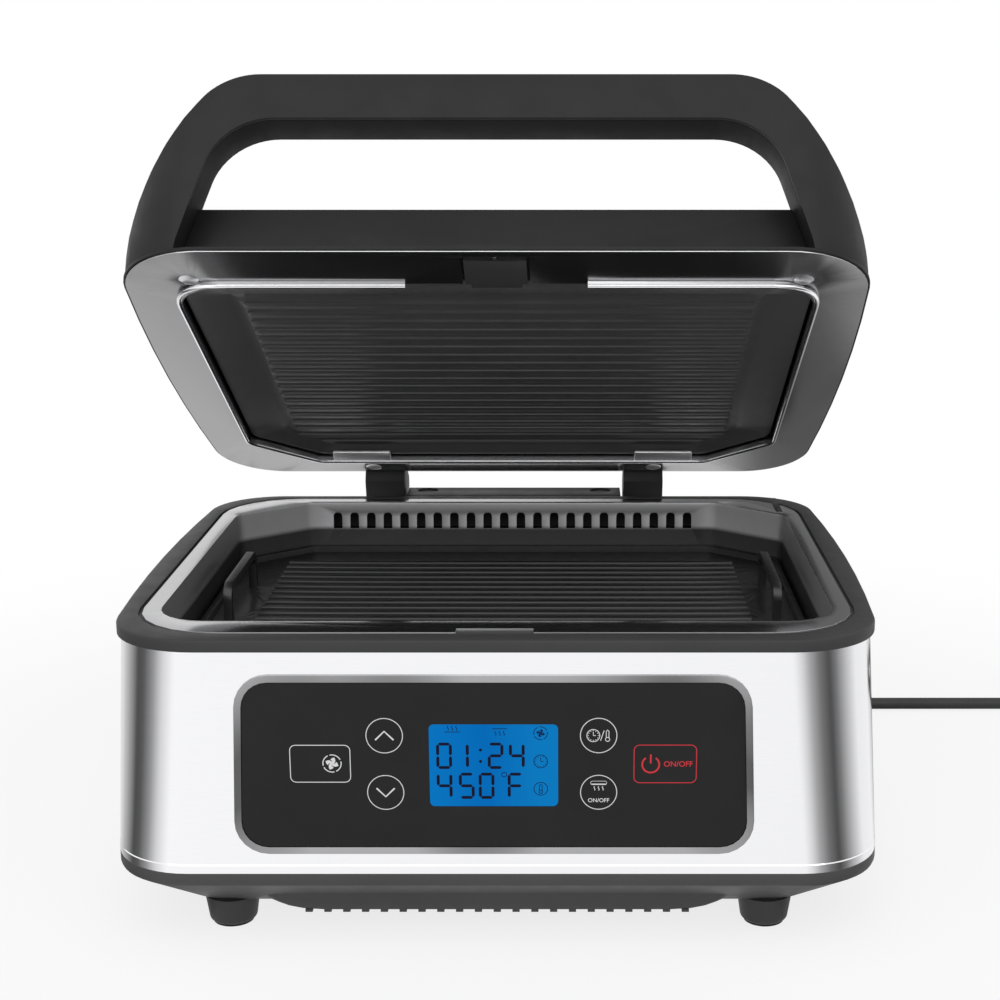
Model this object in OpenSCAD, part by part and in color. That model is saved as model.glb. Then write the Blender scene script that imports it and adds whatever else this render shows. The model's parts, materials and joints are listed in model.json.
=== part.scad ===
// Electric indoor grill with a hinged lid. Millimetres, +Z up, front towards -Y.
// Shapes are laid out from the front edge of the rim (y = 0) and the worktop (z = 0),
// then moved back so that the origin is below the middle of the whole appliance.

/* [Body] */
// Width over the rim
rim_w = 420; // [404:2:440]
// Depth of the rim, front to back
rim_d = 350; // [346:1:360]
// Height of the rim above the worktop
rim_h = 176.5; // [172:0.5:190]
// How much wider the bottom trim is than the rim
base_flare = 10; // [4:1:20]
// Outward bow of the sides at mid depth
side_bow = 7.7; // [5:0.1:10]
// Radius of the front corners
front_r = 50; // [44:1:56]
// Radius of the rear corners
rear_r = 45; // [40:1:52]
// Height of the dark bezel edge
bezel_edge = 6.7; // [5:0.1:9]
// Height of the bottom trim's upper edge above the worktop
trim_top = 45.7; // [42:0.1:50]
// Height of the bottom trim's lower edge above the worktop
trim_low = 39; // [35:0.5:41]
// Sheet thickness of the steel band
band_t = 1; // [0.8:0.1:1.5]
// Wall of the moulded covers
wall = 2.5; // [2:0.1:3]

/* [Feet] */
// Height of the flat floor above the worktop
foot_h = 17; // [15:0.5:20]
// Radius of a foot at the top
foot_r = 15.4; // [13:0.2:16]
// Distance of the feet from the sides of the bottom trim
foot_side = 65.5; // [60:0.5:72]
// Distance of the front feet from the front edge
foot_y = 41.5; // [38:0.5:50]

/* [Control panel] */
// Width of the panel frame
frame_w = 274; // [268:1:278]
// Height of the panel frame
frame_h = 100; // [96:1:101]
// Width of the frame's edge
frame_edge = 3.8; // [3:0.1:5]
// Corner radius of the frame
frame_r = 18; // [15:0.5:20]
// How much wider the frame is at its lower edge than at its upper edge
frame_flare = 7.4; // [0:0.2:10]
// Width of the display window
lcd_w = 68; // [60:1:72]
// Height of the display window
lcd_h = 46; // [40:1:50]

/* [Cooking pan] */
// Distance of the pan's mouth from the sides of the rim
mouth_side = 25; // [24:0.5:27]
// Distance of the pan's mouth from the front edge
mouth_front = 35.5; // [34.5:0.5:36]
// Distance of the pan's mouth from the rear edge
mouth_back = 23.5; // [22:0.5:24]
// Depth of the pan
pan_depth = 75; // [68:1:78]
// Depth of the ledge that the grill plate rests on
ledge_depth = 37; // [36:0.5:42]
// Sheet thickness of the pan
pan_t = 1.6; // [1.2:0.1:2]
// Distance of the pan's flange from the sides of the rim
flange_side = 15.3; // [14:0.1:16]
// Number of slots in the rear wall
slot_count = 22; // [16:1:22]
// Height of the lifting lugs below the rim
lug_drop = 8; // [6:0.5:12]

/* [Lid] */
// Angle at which the lid stands open
lid_open = 31; // [26:0.5:36]
// Height of the lid's top above the rim
lid_h = 36.4; // [35:0.2:40]
// Height of the handle above the rim
handle_h = 106.7; // [100:0.5:115]
// Height of the handle's underside above the rim
grip_h = 80; // [76:0.5:84]
// Depth of the handle's band
handle_d = 24; // [22:0.5:24]
// Distance of the lip round the upper plate from the sides of the rim
lip_side = 30; // [29:0.5:31]
// Number of ribs on the upper plate
rib_count = 19; // [12:1:20]

/* [Hinge] */
// Distance of the hinge pins behind the rim
hinge_back = 32.3; // [31:0.1:36]
// Depth of the hinge pins below the rim
hinge_drop = 21.5; // [20:0.1:24]
// Radius of the hinge pins
pin_r = 4; // [3:0.1:5]
// Radius of the hinge barrels
barrel_r = 11; // [10:0.1:12]
// Half width of the hinge housing
housing_x = 76; // [70:1:80]
// Width of a hinge arm
arm_w = 28; // [24:1:32]

/* [Smoke fan] */
// Radius of the impeller
fan_r = 34; // [28:1:36]
// Number of blades
blade_count = 18; // [10:1:24]

/* [Mains cord] */
// Diameter of the cord
cord_d = 8.5; // [7:0.5:9]

/* [Hidden] */
$fn = 48;

black = "#26262a";
dark = "#3a3a3e";
steel = "#c9cbce";
zinc = "#9a9da2";

over = 0.5;          // overlap that makes a cut pass a face
fit = 0.05;          // radial running clearance
gap = 0.3;           // clearance between parts that move apart
corner_n = 12;       // segments of a quarter corner
side_n = 6;          // segments of a bowed side

// Sizes that follow from the ones above
base_w = rim_w + base_flare;
foot_x = base_w / 2 - foot_side;
mouth_x = rim_w / 2 - mouth_side;
mouth_rear = rim_d - mouth_back;
flange_x = rim_w / 2 - flange_side;
lip_x = rim_w / 2 - lip_side;
hinge_y = rim_d + hinge_back;
mid_y = rim_d / 2;
hinge_z = rim_h - hinge_drop;
pan_mid = (mouth_front + mouth_rear) / 2;

// Placement of the whole appliance: its middle, with the lid open, is at the origin
frame_proud = 1.2;
band_front = 0.3;
arm_top_in = 3;
arm_top_r = 12;
rear_reach = arm_top_r - arm_top_in * cos(lid_open) + hinge_drop * sin(lid_open);
front_y = -(hinge_y + rear_reach - frame_proud + band_front) / 2;

// Heights
bezel_low = rim_h - bezel_edge;
flange_t = 1.6;
seat_z = rim_h - flange_t;
seat_t = 3;
well_clear = 3;
well_t = 1.2;
well_floor = rim_h - pan_depth - pan_t - 16;
heater_r = 3.5;
sensor_r = 4;

// Control panel
panel_z = (bezel_low + trim_top) / 2 - 0.2;
panel_t = 2.4;
board_t = 1.6;
board_y = band_front + 7;

// Lid levels, measured above the rim with the lid closed
lid_gap = 0.5;
trim_t = 1.5;
trim_z = lid_gap + trim_t;
trim_in = 1.2;
shell_low = lid_gap + 0.8;
shell_rim = 3.2;
plinth_z = 7;
plinth_r = 5.6;
cover_t = 1.2;
dome_in = handle_d + 0.6;
fascia_y = 19;
fascia_back = 60;
plate_low = 3;
plate_top = 14;
dish_z = 9;
lip_drop = 2.5;
lip_front = 37;
lip_rear = rim_d - 26.5;
lip_t = 3;
latch_x = 17;
arm_x = housing_x + 2.5;
tongue_t = 6;
screw_rear_x = arm_x + 20.8;
screw_rear_y = rim_d - 10.2;
screw_front_x = rim_w / 2 - 42;
screw_front_y = 35.4;

// ---------- outlines ----------
function arc(c, r, a0, a1, n) =
    [for (i = [0:n]) c + r * [cos(a0 + (a1 - a0) * i / n), sin(a0 + (a1 - a0) * i / n)]];

function inner_arc(c, r, a0, a1, n) =
    [for (i = [1:n - 1]) c + r * [cos(a0 + (a1 - a0) * i / n), sin(a0 + (a1 - a0) * i / n)]];

function mirrored(half) = [for (i = [len(half) - 1:-1:0]) [-half[i][0], half[i][1]]];

// Outline with straight front and rear, bowed sides and round corners, inset by t
function outline(w, d, rf, rr, t = 0) =
    let (
        rs = d * d / (8 * side_bow) + side_bow / 2,
        cs = w / 2 - rs,
        af = asin((d / 2 - rf) / (rs - rf)),
        ar = asin((d / 2 - rr) / (rs - rr)),
        cf = [cs + (rs - rf) * cos(af), mid_y - d / 2 + rf],
        cr = [cs + (rs - rr) * cos(ar), mid_y + d / 2 - rr],
        half = concat(
            arc(cf, rf - t, -90, -af, corner_n),
            inner_arc([cs, mid_y], rs - t, -af, ar, side_n),
            arc(cr, rr - t, ar, 90, corner_n)
        )
    )
    concat(half, mirrored(half));

function rim(t = 0) = outline(rim_w, rim_d, front_r, rear_r, t);
function foot_line(t = 0) = outline(base_w, rim_d, rear_r, rear_r, t);

// Convex polygon with each corner rounded by its own radius
function rounded(p, r, n) =
    [for (i = [0:len(p) - 1])
        let (
            a = p[(i + len(p) - 1) % len(p)] - p[i],
            b = p[(i + 1) % len(p)] - p[i],
            u = a / norm(a),
            v = b / norm(b),
            half = acos(u * v) / 2,
            c = p[i] + (u + v) / norm(u + v) * r[i] / sin(half),
            s = p[i] + u * r[i] / tan(half) - c,
            a0 = atan2(s[1], s[0])
        )
        each arc(c, r[i], a0, a0 + 180 - 2 * half, n)
    ];

// Outline of the pan: round front corners, chamfered rear corners, inset by t
pan_cx = 45;
pan_cy = 38.5;
pan_r = 28;
pan_rc = 12;
function pan_corners(x, y0, y1, t) =
    let (
        len_c = norm([pan_cx, pan_cy]),
        c = (pan_cy * x + pan_cx * (y1 - pan_cy)) / len_c - t,
        xi = x - t,
        yi = y1 - t,
        ya = (c * len_c - pan_cy * xi) / pan_cx,
        xb = (c * len_c - pan_cx * yi) / pan_cy
    )
    [[-xi, y0 + t], [xi, y0 + t], [xi, ya], [xb, yi], [-xb, yi], [-xi, ya]];
function pan_line(x, y0, y1, t) =
    rounded(pan_corners(x, y0, y1, t), [pan_r - t, pan_r - t, pan_rc, pan_rc, pan_rc, pan_rc], corner_n / 2);
function mouth(t) = pan_line(mouth_x, mouth_front, mouth_rear, t);
function lip(t) = pan_line(lip_x, lip_front, lip_rear, t);

function box_line(x0, x1, y0, y1, r) =
    rounded([[x0, y0], [x1, y0], [x1, y1], [x0, y1]], [r, r, r, r], corner_n / 2);

// ---------- solids ----------
module place() translate([0, front_y, 0]) children();

module on_lid() {
    place()
    translate([0, hinge_y, hinge_z])
    rotate([-lid_open, 0, 0])
    translate([0, -hinge_y, -hinge_z + rim_h])
    children();
}

module slab(points, z0, z1) translate([0, 0, z0]) linear_extrude(z1 - z0) polygon(points);

// Solid through rings of equal length, each at its own height
module loft(rings, heights) {
    n = len(rings[0]);
    m = len(rings);
    sides = [
        for (k = [0:m - 2], i = [0:n - 1])
            let (a = k * n + i, b = k * n + (i + 1) % n)
            each [[a, a + n, b + n], [a, b + n, b]]
    ];
    polyhedron(
        points = [for (k = [0:m - 1]) for (p = rings[k]) [p[0], p[1], heights[k]]],
        faces = concat([[for (i = [0:n - 1]) i]], [[for (i = [n - 1:-1:0]) i + (m - 1) * n]], sides)
    );
}

module mirror_x() {
    children();
    mirror([1, 0, 0]) children();
}

// Outline in x and z, extruded from y0 to y1
module facing(points, y0, y1)
    translate([0, y1, 0]) rotate([90, 0, 0]) linear_extrude(y1 - y0) polygon(points);

// Outline in y and z, extruded from x0 to x1
module across(points, x0, x1)
    translate([x0, 0, 0]) rotate([90, 0, 90]) linear_extrude(x1 - x0) polygon(points);

module disc(x, y, z0, z1, r) translate([x, y, z0]) cylinder(h = z1 - z0, r = r);

module rod_x(x0, x1, y, z, r) translate([x0, y, z]) rotate([0, 90, 0]) cylinder(h = x1 - x0, r = r);

module rod_y(x, y0, y1, z, r) translate([x, y0, z]) rotate([-90, 0, 0]) cylinder(h = y1 - y0, r = r);

module block(x0, x1, y0, y1, z0, z1) translate([x0, y0, z0]) cube([x1 - x0, y1 - y0, z1 - z0]);

// Tube of round section swept along points
function unit(v) = v / norm(v);
function heading(p, i) = unit(p[min(i + 1, len(p) - 1)] - p[max(i - 1, 0)]);
module sweep(p, r, sides) {
    n = len(p);
    ring = [
        for (i = [0:n - 1])
            let (t = heading(p, i), s = unit(cross([0, 0, 1], t)), u = cross(t, s))
            for (k = [0:sides - 1]) p[i] + r * (s * cos(360 * k / sides) + u * sin(360 * k / sides))
    ];
    skin = [
        for (i = [0:n - 2], k = [0:sides - 1])
            let (a = i * sides + k, b = i * sides + (k + 1) % sides)
            each [[a, b, b + sides], [a, b + sides, a + sides]]
    ];
    first = [for (k = [sides - 1:-1:0]) k];
    last = [for (k = [0:sides - 1]) k + (n - 1) * sides];
    polyhedron(points = ring, faces = concat([first, last], skin));
}

// ---------- base ----------
floor_in = 30;
floor_r = 30;
function floor_line(t = 0) = outline(base_w - 2 * floor_in, rim_d - 2 * floor_in, floor_r, floor_r, t);
slope_in = 2.2;
slope_top = trim_low - 1.5;
basin_x = base_w / 2 - 111.5;
basin_front = 22;
basin_rear = rim_d - basin_front;
basin_z = 14.5;
basin_r = 8;
// Flare of the basin: height above its bottom, growth in width, growth in depth
basin_flare = [[0, 0, 0], [0.8, 9.5, 0.4], [2.2, 15.5, 0.7], [4.1, 20, 1], [6.5, 24.5, 1.4], [10.5, 29.5, 2]];
vent_rib_h = 1.6;
vent_rib_w = 4;
vent_ribs = 21;
vent_rib_pitch = (2 * basin_x + 1) / (vent_ribs - 1);
vent_slot = vent_rib_pitch - vent_rib_w;

// Screw posts in the corners
post_in = 21;
post_r = 5.5;
post_z = trim_top + 6;
post_grip = 12;
head_seat = trim_top - wall;
screw_r = 2;
head_r = 4;
head_h = 2.6;
post_x = rim_w / 2 - post_in - 4;
post_y = post_in;
function post_places() = [for (sx = [-1, 1], y = [post_y, rim_d - post_y]) [sx * post_x, y]];

// Standoffs of the power board
board_x = 62;
board_y0 = 100;
board_y1 = 210;
board_z = 32;
board_in = 6;
function board_places() = [for (x = [-board_x + board_in, board_x - board_in],
    y = [board_y0 + board_in, board_y1 - board_in]) [x, y]];

module cover_outer() {
    loft([floor_line(), foot_line(slope_in), foot_line(0.6), foot_line(), foot_line()],
        [foot_h, slope_top, slope_top + 1.1, slope_top + 2.6, trim_top]);
    basin(0);
}

module cover_inner() {
    loft([floor_line(0.8), foot_line(slope_in + wall), foot_line(wall), foot_line(wall)],
        [foot_h + wall, slope_top + 1.3, slope_top + 3.6, trim_top + over]);
    basin(wall);
}

// Shallow tray between the feet, inset by t
module basin(t) {
    loft([for (f = basin_flare) box_line(-basin_x - f[1] + t, basin_x + f[1] - t,
            basin_front - f[2] + t, basin_rear + f[2] - t, basin_r)],
        [for (f = basin_flare) basin_z + f[0] + t]);
}

module bottom_cover() {
    color(black) place() {
        difference() {
            union() {
                difference() {
                    cover_outer();
                    cover_inner();
                }
                intersection() {
                    cover_outer();
                    for (p = post_places()) disc(p[0], p[1], foot_h, trim_top, post_r + 2);
                }
                for (p = post_places()) disc(p[0], p[1], head_seat, post_z - gap, post_r);
                for (p = board_places()) disc(p[0], p[1], basin_z + wall - over, board_z, 3.5);
            }
            for (p = post_places()) {
                disc(p[0], p[1], foot_h - over, head_seat, head_r + 0.6);
                disc(p[0], p[1], foot_h, post_z, screw_r + fit);
            }
            for (p = board_places()) disc(p[0], p[1], foot_h + wall + 2, board_z + over, 1.2);
            for (i = [0:vent_ribs - 2]) vent_cut((i - (vent_ribs - 2) / 2) * vent_rib_pitch);
        }
        for (i = [0:vent_ribs - 1]) vent_rib((i - (vent_ribs - 1) / 2) * vent_rib_pitch);
    }
}

module vent_cut(x) {
    block(x - vent_slot / 2, x + vent_slot / 2, mid_y - 60, mid_y + 60, basin_z - over, foot_h + wall + over);
}

module vent_rib(x) {
    block(x - vent_rib_w / 2, x + vent_rib_w / 2, basin_front, basin_rear, basin_z - vent_rib_h, basin_z);
}

module base_screws() {
    color(zinc) place() housing_screws_set();
    color(zinc) place()
    for (p = post_places()) {
        disc(p[0], p[1], head_seat - head_h, head_seat, head_r);
        disc(p[0], p[1], head_seat - over, post_z + post_grip, screw_r - fit);
    }
}

module foot_profile(r) {
    polygon(concat([[0, foot_h], [0, 2.4]], [[r - 4, 2.4], [r - 4, 1.2]],
        arc([r - 5, 4], 3, -70, -8, 6), [[r, foot_h]]));
}

module feet() {
    color(black) place()
    for (x = [-foot_x, foot_x], y = [foot_y, rim_d - foot_y])
        translate([x, y, 0]) rotate_extrude() foot_profile(foot_r);
}

module foot_pads() {
    color(dark) place()
    for (x = [-foot_x, foot_x], y = [foot_y, rim_d - foot_y]) disc(x, y, 0, 2.4, foot_r - 4.1);
}

function band_top(t = 0) = outline(rim_w - 5, rim_d - 2 * band_front, front_r - 1, rear_r - 1, t);
function band_low(t = 0) = outline(base_w - 0.6, rim_d - 2 * band_front, rear_r, rear_r, t);
hem_h = 4.6;
hem_t = 0.3;
window_w = frame_w - 5;
window_h = frame_h - 5;
duct_r = 30;
gland_x = 122;
gland_z = 62;
gland_r = 8;

module body_band() {
    color(steel) place()
    difference() {
        loft([band_low(-hem_t), band_low(-hem_t), band_low(), band_top()],
            [trim_top, trim_top + hem_h, trim_top + hem_h + 2 * hem_t, bezel_low]);
        loft([band_low(band_t), band_low(band_t), band_top(band_t), band_top(band_t)],
            [trim_top - over, trim_top, bezel_low, bezel_low + over]);
        facing(panel_line(window_w, window_h, frame_r - 2.5), -over, band_front + band_t + over);
        rod_y(0, rim_d - 4, rim_d + over, fan_z, duct_r);
        rod_y(gland_x, rim_d - 4, rim_d + over, gland_z, gland_r + fit);
        for (x = [-1, 1], z = housing_screws())
            rod_y(x * housing_screw_x, rim_d - 4, rim_d + over, z, screw_r + fit);
    }
}

// Outline on the panel: w is its width at mid height, and its sides spread towards the bottom
function panel_line(w, h, r) =
    let (
        spread = frame_flare / 4 * h / frame_h,
        low = w / 2 + spread,
        high = w / 2 - spread,
        z0 = panel_z - h / 2,
        z1 = panel_z + h / 2
    )
    rounded([[-low, z0], [low, z0], [high, z1], [-high, z1]], [r, r, r, r], corner_n / 2);

flange_front = 14.1;
flange_rear = rim_d - 10.2;
flange_r = 48;
flange_gap = 2.2;
function flange_line(t) =
    box_line(-flange_x + t, flange_x - t, flange_front + t, flange_rear - t, flange_r - t);
skirt_in = 4;
skirt_h = 14;

module top_bezel() {
    color(dark) place() {
        difference() {
            union() {
                loft([rim(), rim(), rim(0.45), rim(1.5)], [bezel_low, rim_h - 1.5, rim_h - 0.45, rim_h]);
                slab(rim(skirt_in), bezel_low - skirt_h, bezel_low + over);
            }
            slab(flange_line(-flange_gap), seat_z, rim_h + over);
            slab(mouth(-pan_t - well_clear), 0, rim_h);
            slab(rim(skirt_in + wall), 0, seat_z - seat_t);
            facing(panel_line(frame_w, frame_h + 4, frame_r), 0, 20);
        }
        for (p = post_places())
            difference() {
                disc(p[0], p[1], post_z, seat_z - seat_t + over, post_r);
                disc(p[0], p[1], post_z - over, post_z + post_grip + 4, screw_r);
            }
        // key that locates the pan
        block(mouth_x - 4, mouth_x, flange_rear - 40, flange_rear + flange_gap + over, seat_z - over, rim_h);
    }
}

tab_x = 108;
tab_z = 34;
tab_y = board_y - 1.8;

module panel_frame() {
    color(black) place() {
        difference() {
            union() {
                facing(panel_line(frame_w, frame_h, frame_r), band_front - frame_proud, band_front);
                facing(panel_line(window_w - 0.4, window_h - 0.4, frame_r - 2.7), band_front - over, board_y);
            }
            facing(panel_line(frame_w - 2 * frame_edge, frame_h - 2 * frame_edge, frame_r - frame_edge),
                -2, panel_back);
            facing(panel_line(window_w - 8, window_h - 8, frame_r - 6), -2, board_y + over);
        }
        for (x = [-1, 1], z = [-1, 1]) board_tab(x, z);
    }
}

// Corner tab of the frame with a boss for the control board
module board_tab(x, z) {
    difference() {
        translate([0, 0, panel_z]) scale([x, 1, z])
            block(tab_x - 6, window_w / 2 - 3, tab_y, board_y, tab_z - 6, tab_z + 8);
        rod_y(x * tab_x, tab_y - over, board_y + over, panel_z + z * tab_z, 1.5);
    }
}

panel_w = frame_w - 2 * frame_edge - 0.4;
panel_h = frame_h - 2 * frame_edge - 0.4;
panel_front = band_front - frame_proud + 0.4;
panel_back = panel_front + panel_t;
lcd_r = 2.7;
lcd_fit = 0.1;
function lcd_line(t) =
    box_line(t - lcd_w / 2, lcd_w / 2 - t, panel_z - lcd_h / 2 + t, panel_z + lcd_h / 2 - t, lcd_r - t);

module touch_panel() {
    color("#1c1c1e") place()
    difference() {
        facing(panel_line(panel_w, panel_h, frame_r - frame_edge - 0.2), panel_front, panel_back);
        facing(lcd_line(0), -2, panel_back + over);
    }
}

module lcd_display() {
    color("#1670d8") place() {
        facing(lcd_line(lcd_fit), panel_front + 0.2, panel_back);
        block(-lcd_w / 2 - 3, lcd_w / 2 + 3, panel_back, board_y, panel_z - lcd_h / 2 - 3,
            panel_z + lcd_h / 2 + 3);
    }
}

// Places of the six touch pads, from the panel's middle
function pad_places() = [[-57.3, 15.9], [-57.3, -15.9], [55.3, 15.9], [55.3, -15.9], [-91.5, 0], [90.5, 0]];

control_x = window_w / 2 - 18.5;
control_z = window_h / 2 - 8.5;
module control_board() {
    color("#1f6b45") place() {
        difference() {
            block(-control_x, control_x, board_y, board_y + board_t,
                panel_z - control_z, panel_z + control_z);
            for (x = [-1, 1], z = [-1, 1])
                rod_y(x * tab_x, board_y - over, board_y + board_t + over, panel_z + z * tab_z, 1.5);
        }
        for (p = pad_places()) rod_y(p[0], panel_back, board_y + fit, panel_z + p[1], 5);
        block(-14, 14, board_y + board_t - fit, board_y + board_t + 2.5, panel_z - 12, panel_z + 12);
        block(60, 84, board_y + board_t - fit, board_y + board_t + 8, panel_z - 30, panel_z - 22);
    }
}

module power_board() {
    color("#1f6b45") place() {
        difference() {
            block(-board_x, board_x, board_y0, board_y1, board_z, board_z + board_t);
            for (p = board_places()) disc(p[0], p[1], board_z - over, board_z + board_t + over, 1.6);
        }
        for (x = [-40, -12])
            block(x, x + 20, board_y0 + 14, board_y0 + 42, board_z + board_t - fit, board_z + 18);
        block(16, 44, board_y0 + 14, board_y0 + 44, board_z + board_t - fit, board_z + 24);
        disc(-24, board_y1 - 30, board_z + board_t - fit, board_z + 26, 9);
        disc(4, board_y1 - 30, board_z + board_t - fit, board_z + 20, 6);
    }
}

slot_pitch = 11.6;
slot_x = slot_count * slot_pitch / 2 + 2.4;
heater_x = rim_w / 2 - 85;
heater_y = mid_y + 6;
module heat_well() {
    color(zinc) place()
    difference() {
        union() {
            slab(mouth(-pan_t - well_clear - 8), seat_z - seat_t - well_t, seat_z - seat_t);
            slab(mouth(-pan_t - well_clear), well_floor, seat_z - seat_t);
        }
        slab(mouth(-pan_t - well_clear + well_t), well_floor + well_t, rim_h);
        block(-slot_x, slot_x, mouth_rear, rim_d, rim_h - 34, rim_h - 8);
        disc(0, heater_y, well_floor - over, well_floor + 3, sensor_r + fit);
    }
}

// Heating rod: runs along x joined by round bends, in one plane
module heater_loop(x_half, y_mid, pitch, runs, z) {
    first = y_mid - pitch * (runs - 1) / 2;
    for (i = [0:runs - 1]) rod_x(-x_half, x_half, first + i * pitch, z, heater_r);
    for (i = [0:runs - 2])
        translate([(i % 2 == 0 ? 1 : -1) * x_half, first + (i + 0.5) * pitch, z])
        rotate([0, 0, i % 2 == 0 ? -90 : 90])
        rotate_extrude(angle = 180) translate([pitch / 2, 0]) circle(r = heater_r);
}

lower_heater_z = well_floor + 9;
heater_runs = 4;
heater_pitch = (rim_d - 26) / 6;
module lower_heater() {
    color(dark) place()
    heater_loop(heater_x, heater_y, heater_pitch, heater_runs, lower_heater_z);
}

bracket_x = heater_x - 45;
bracket_y = heater_pitch * 1.5 + 8;
module heater_brackets() {
    color(zinc) place()
    for (x = [-bracket_x, bracket_x])
        difference() {
            block(x - 4, x + 4, heater_y - bracket_y, heater_y + bracket_y,
                well_floor + well_t, lower_heater_z + 1);
            for (i = [0:heater_runs - 1])
                rod_x(x - 5, x + 5, heater_y + (i - 1.5) * heater_pitch, lower_heater_z, heater_r + fit);
        }
}

module temp_sensor() {
    color(steel) place() {
        disc(0, heater_y, well_floor - 6, rim_h - pan_depth - pan_t - gap, sensor_r);
        disc(0, heater_y, well_floor - 3, well_floor, sensor_r * 2);
    }
}

// ---------- rear column with hinge and fan ----------
housing_low = trim_top + 6.3;
housing_rear = hinge_y + barrel_r;
housing_wall = 3;
housing_screw_x = housing_x - 8;
function housing_screws() = [housing_low + 10, hinge_z - 24];
housing_front = rim_d - band_front;
cavity_top = hinge_z - barrel_r - 4;
fan_z = (housing_low + housing_wall + cavity_top + 1) / 2;
fan_room = 1.5;
shroud_rear = housing_front + 3.2;
screw_grip = 14;
pin_seat = 20;
plug_hole_x = 62;
plug_hole_y = hinge_y - 13.8;
plug_hole_r = 7.5;

module hinge_housing() {
    color(dark) place()
    difference() {
        across(housing_side(), -housing_x, housing_x);
        difference() {
            block(-housing_x + housing_wall, housing_x - housing_wall, housing_front - over,
                housing_rear - housing_wall, housing_low + housing_wall, cavity_top);
            for (x = [-1, 1], z = housing_screws())
                rod_y(x * housing_screw_x, shroud_rear, housing_rear, z, 5);
        }
        rod_y(0, housing_front - over, housing_rear - housing_wall, fan_z, fan_r + fan_room);
        rod_y(0, housing_rear - 6, housing_rear + over, fan_z, fan_r + 6);
        for (x = [-1, 1], z = housing_screws())
            rod_y(x * housing_screw_x, housing_front, shroud_rear + screw_grip + 3, z, screw_r);
        mirror_x() {
            rod_x(housing_x - pin_seat, housing_x + over, hinge_y, hinge_z, pin_r + fit);
            disc(plug_hole_x, plug_hole_y, rim_h - 3, rim_h + over, plug_hole_r);
        }
    }
}

module housing_screws_set() {
    for (x = [-1, 1], z = housing_screws()) {
        rod_y(x * housing_screw_x, housing_front - band_t - head_h, housing_front - band_t, z, head_r);
        rod_y(x * housing_screw_x, housing_front - band_t - over, shroud_rear + screw_grip, z, screw_r - fit);
    }
}

// Side outline of the rear column, behind the rim
function housing_side() = concat(
    [[housing_front, housing_low]],
    arc([housing_rear - 8, housing_low + 8], 8, -90, 0, 6),
    arc([housing_rear - 10, rim_h - 14], 10, 0, 50, 6),
    arc([hinge_y - 5, rim_h - 3], 3, 50, 90, 4),
    [[rim_d + 0.2, rim_h], [rim_d + 0.2, bezel_low - 0.2], [housing_front, bezel_low - 0.2]]);

module hinge_plugs() {
    color(black) place()
    mirror_x() disc(plug_hole_x, plug_hole_y, rim_h - 3, rim_h - 1.2, plug_hole_r - 0.1);
}

module hinge_pins() {
    color(steel) place() mirror_x() {
        rod_x(housing_x - pin_seat + 1, arm_x + arm_w + 1, hinge_y, hinge_z, pin_r);
        rod_x(arm_x + arm_w + gap, arm_x + arm_w + 2.3, hinge_y, hinge_z, pin_r + 3);
    }
}

module friction_washers() {
    color(zinc) place() mirror_x()
    difference() {
        rod_x(housing_x, arm_x - gap, hinge_y, hinge_z, barrel_r - 2);
        rod_x(housing_x - over, arm_x, hinge_y, hinge_z, pin_r + fit);
    }
}

module fan_shroud() {
    color(black) place()
    difference() {
        block(-housing_x + housing_wall + gap, housing_x - housing_wall - gap, housing_front,
            shroud_rear, housing_low + housing_wall + gap, cavity_top - gap);
        rod_y(0, rim_d - 5, rim_d + 5, fan_z, eye_r);
        for (x = [-1, 1], z = housing_screws())
            rod_y(x * housing_screw_x, rim_d - 5, rim_d + 5, z, screw_r + fit);
    }
}

impeller_y0 = housing_front + 5;
impeller_t = 12;
eye_r = fan_r * 0.62;
shaft_r = 2;
module fan_impeller() {
    color(zinc) place()
    translate([0, impeller_y0, fan_z]) rotate([-90, 0, 0])
    difference() {
        union() {
            difference() {
                cylinder(h = 1.2, r = fan_r);
                translate([0, 0, -over]) cylinder(h = 1.2 + 2 * over, r = eye_r);
            }
            translate([0, 0, impeller_t - 1.4]) cylinder(h = 1.4, r = fan_r);
            cylinder(h = impeller_t, r = 6);
            for (i = [0:blade_count - 1]) rotate(i * 360 / blade_count) blade();
        }
        translate([0, 0, -over]) cylinder(h = impeller_t + 1, r = shaft_r);
    }
}

// Curved blade, an arc in plan
module blade() {
    linear_extrude(impeller_t - 0.5)
    intersection() {
        difference() {
            translate([fan_r * 0.8, 10]) circle(r = 12.6);
            translate([fan_r * 0.8, 10]) circle(r = 11.6);
        }
        difference() {
            circle(r = fan_r - 0.4);
            circle(r = eye_r + 0.7);
        }
        translate([0, -20]) square([fan_r, 30]);
    }
}

motor_y0 = impeller_y0 + impeller_t + 1;
grille_lip = 1.6;
grille_t = grille_lip + housing_wall - 0.4;
grille_y = housing_rear - housing_wall - grille_lip;
module fan_motor() {
    color(zinc) place() {
        rod_y(0, motor_y0, grille_y, fan_z, 15);
        rod_y(0, impeller_y0 + 1, motor_y0 + over, fan_z, shaft_r - fit);
    }
}

module exhaust_grille() {
    color(black) place()
    translate([0, grille_y, fan_z]) rotate([-90, 0, 0])
    difference() {
        union() {
            cylinder(h = grille_t, r = fan_r + 5.9);
            cylinder(h = grille_lip, r = fan_r + 7.5);
        }
        for (k = [0:3], j = [0:5])
            rotate(j * 60 + 6) grille_slot(16 + 5.6 * k);
    }
}

// Arc-shaped slot between spokes
module grille_slot(r) {
    translate([0, 0, -over])
    linear_extrude(grille_t + 2 * over)
    intersection() {
        difference() {
            circle(r = r + 3.4);
            circle(r = r);
        }
        polygon([[0, 0], [60, 0], [60 * cos(24), 60 * sin(24)], [60 * cos(48), 60 * sin(48)]]);
    }
}

// ---------- mains cord ----------
relief_l = 32;
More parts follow.
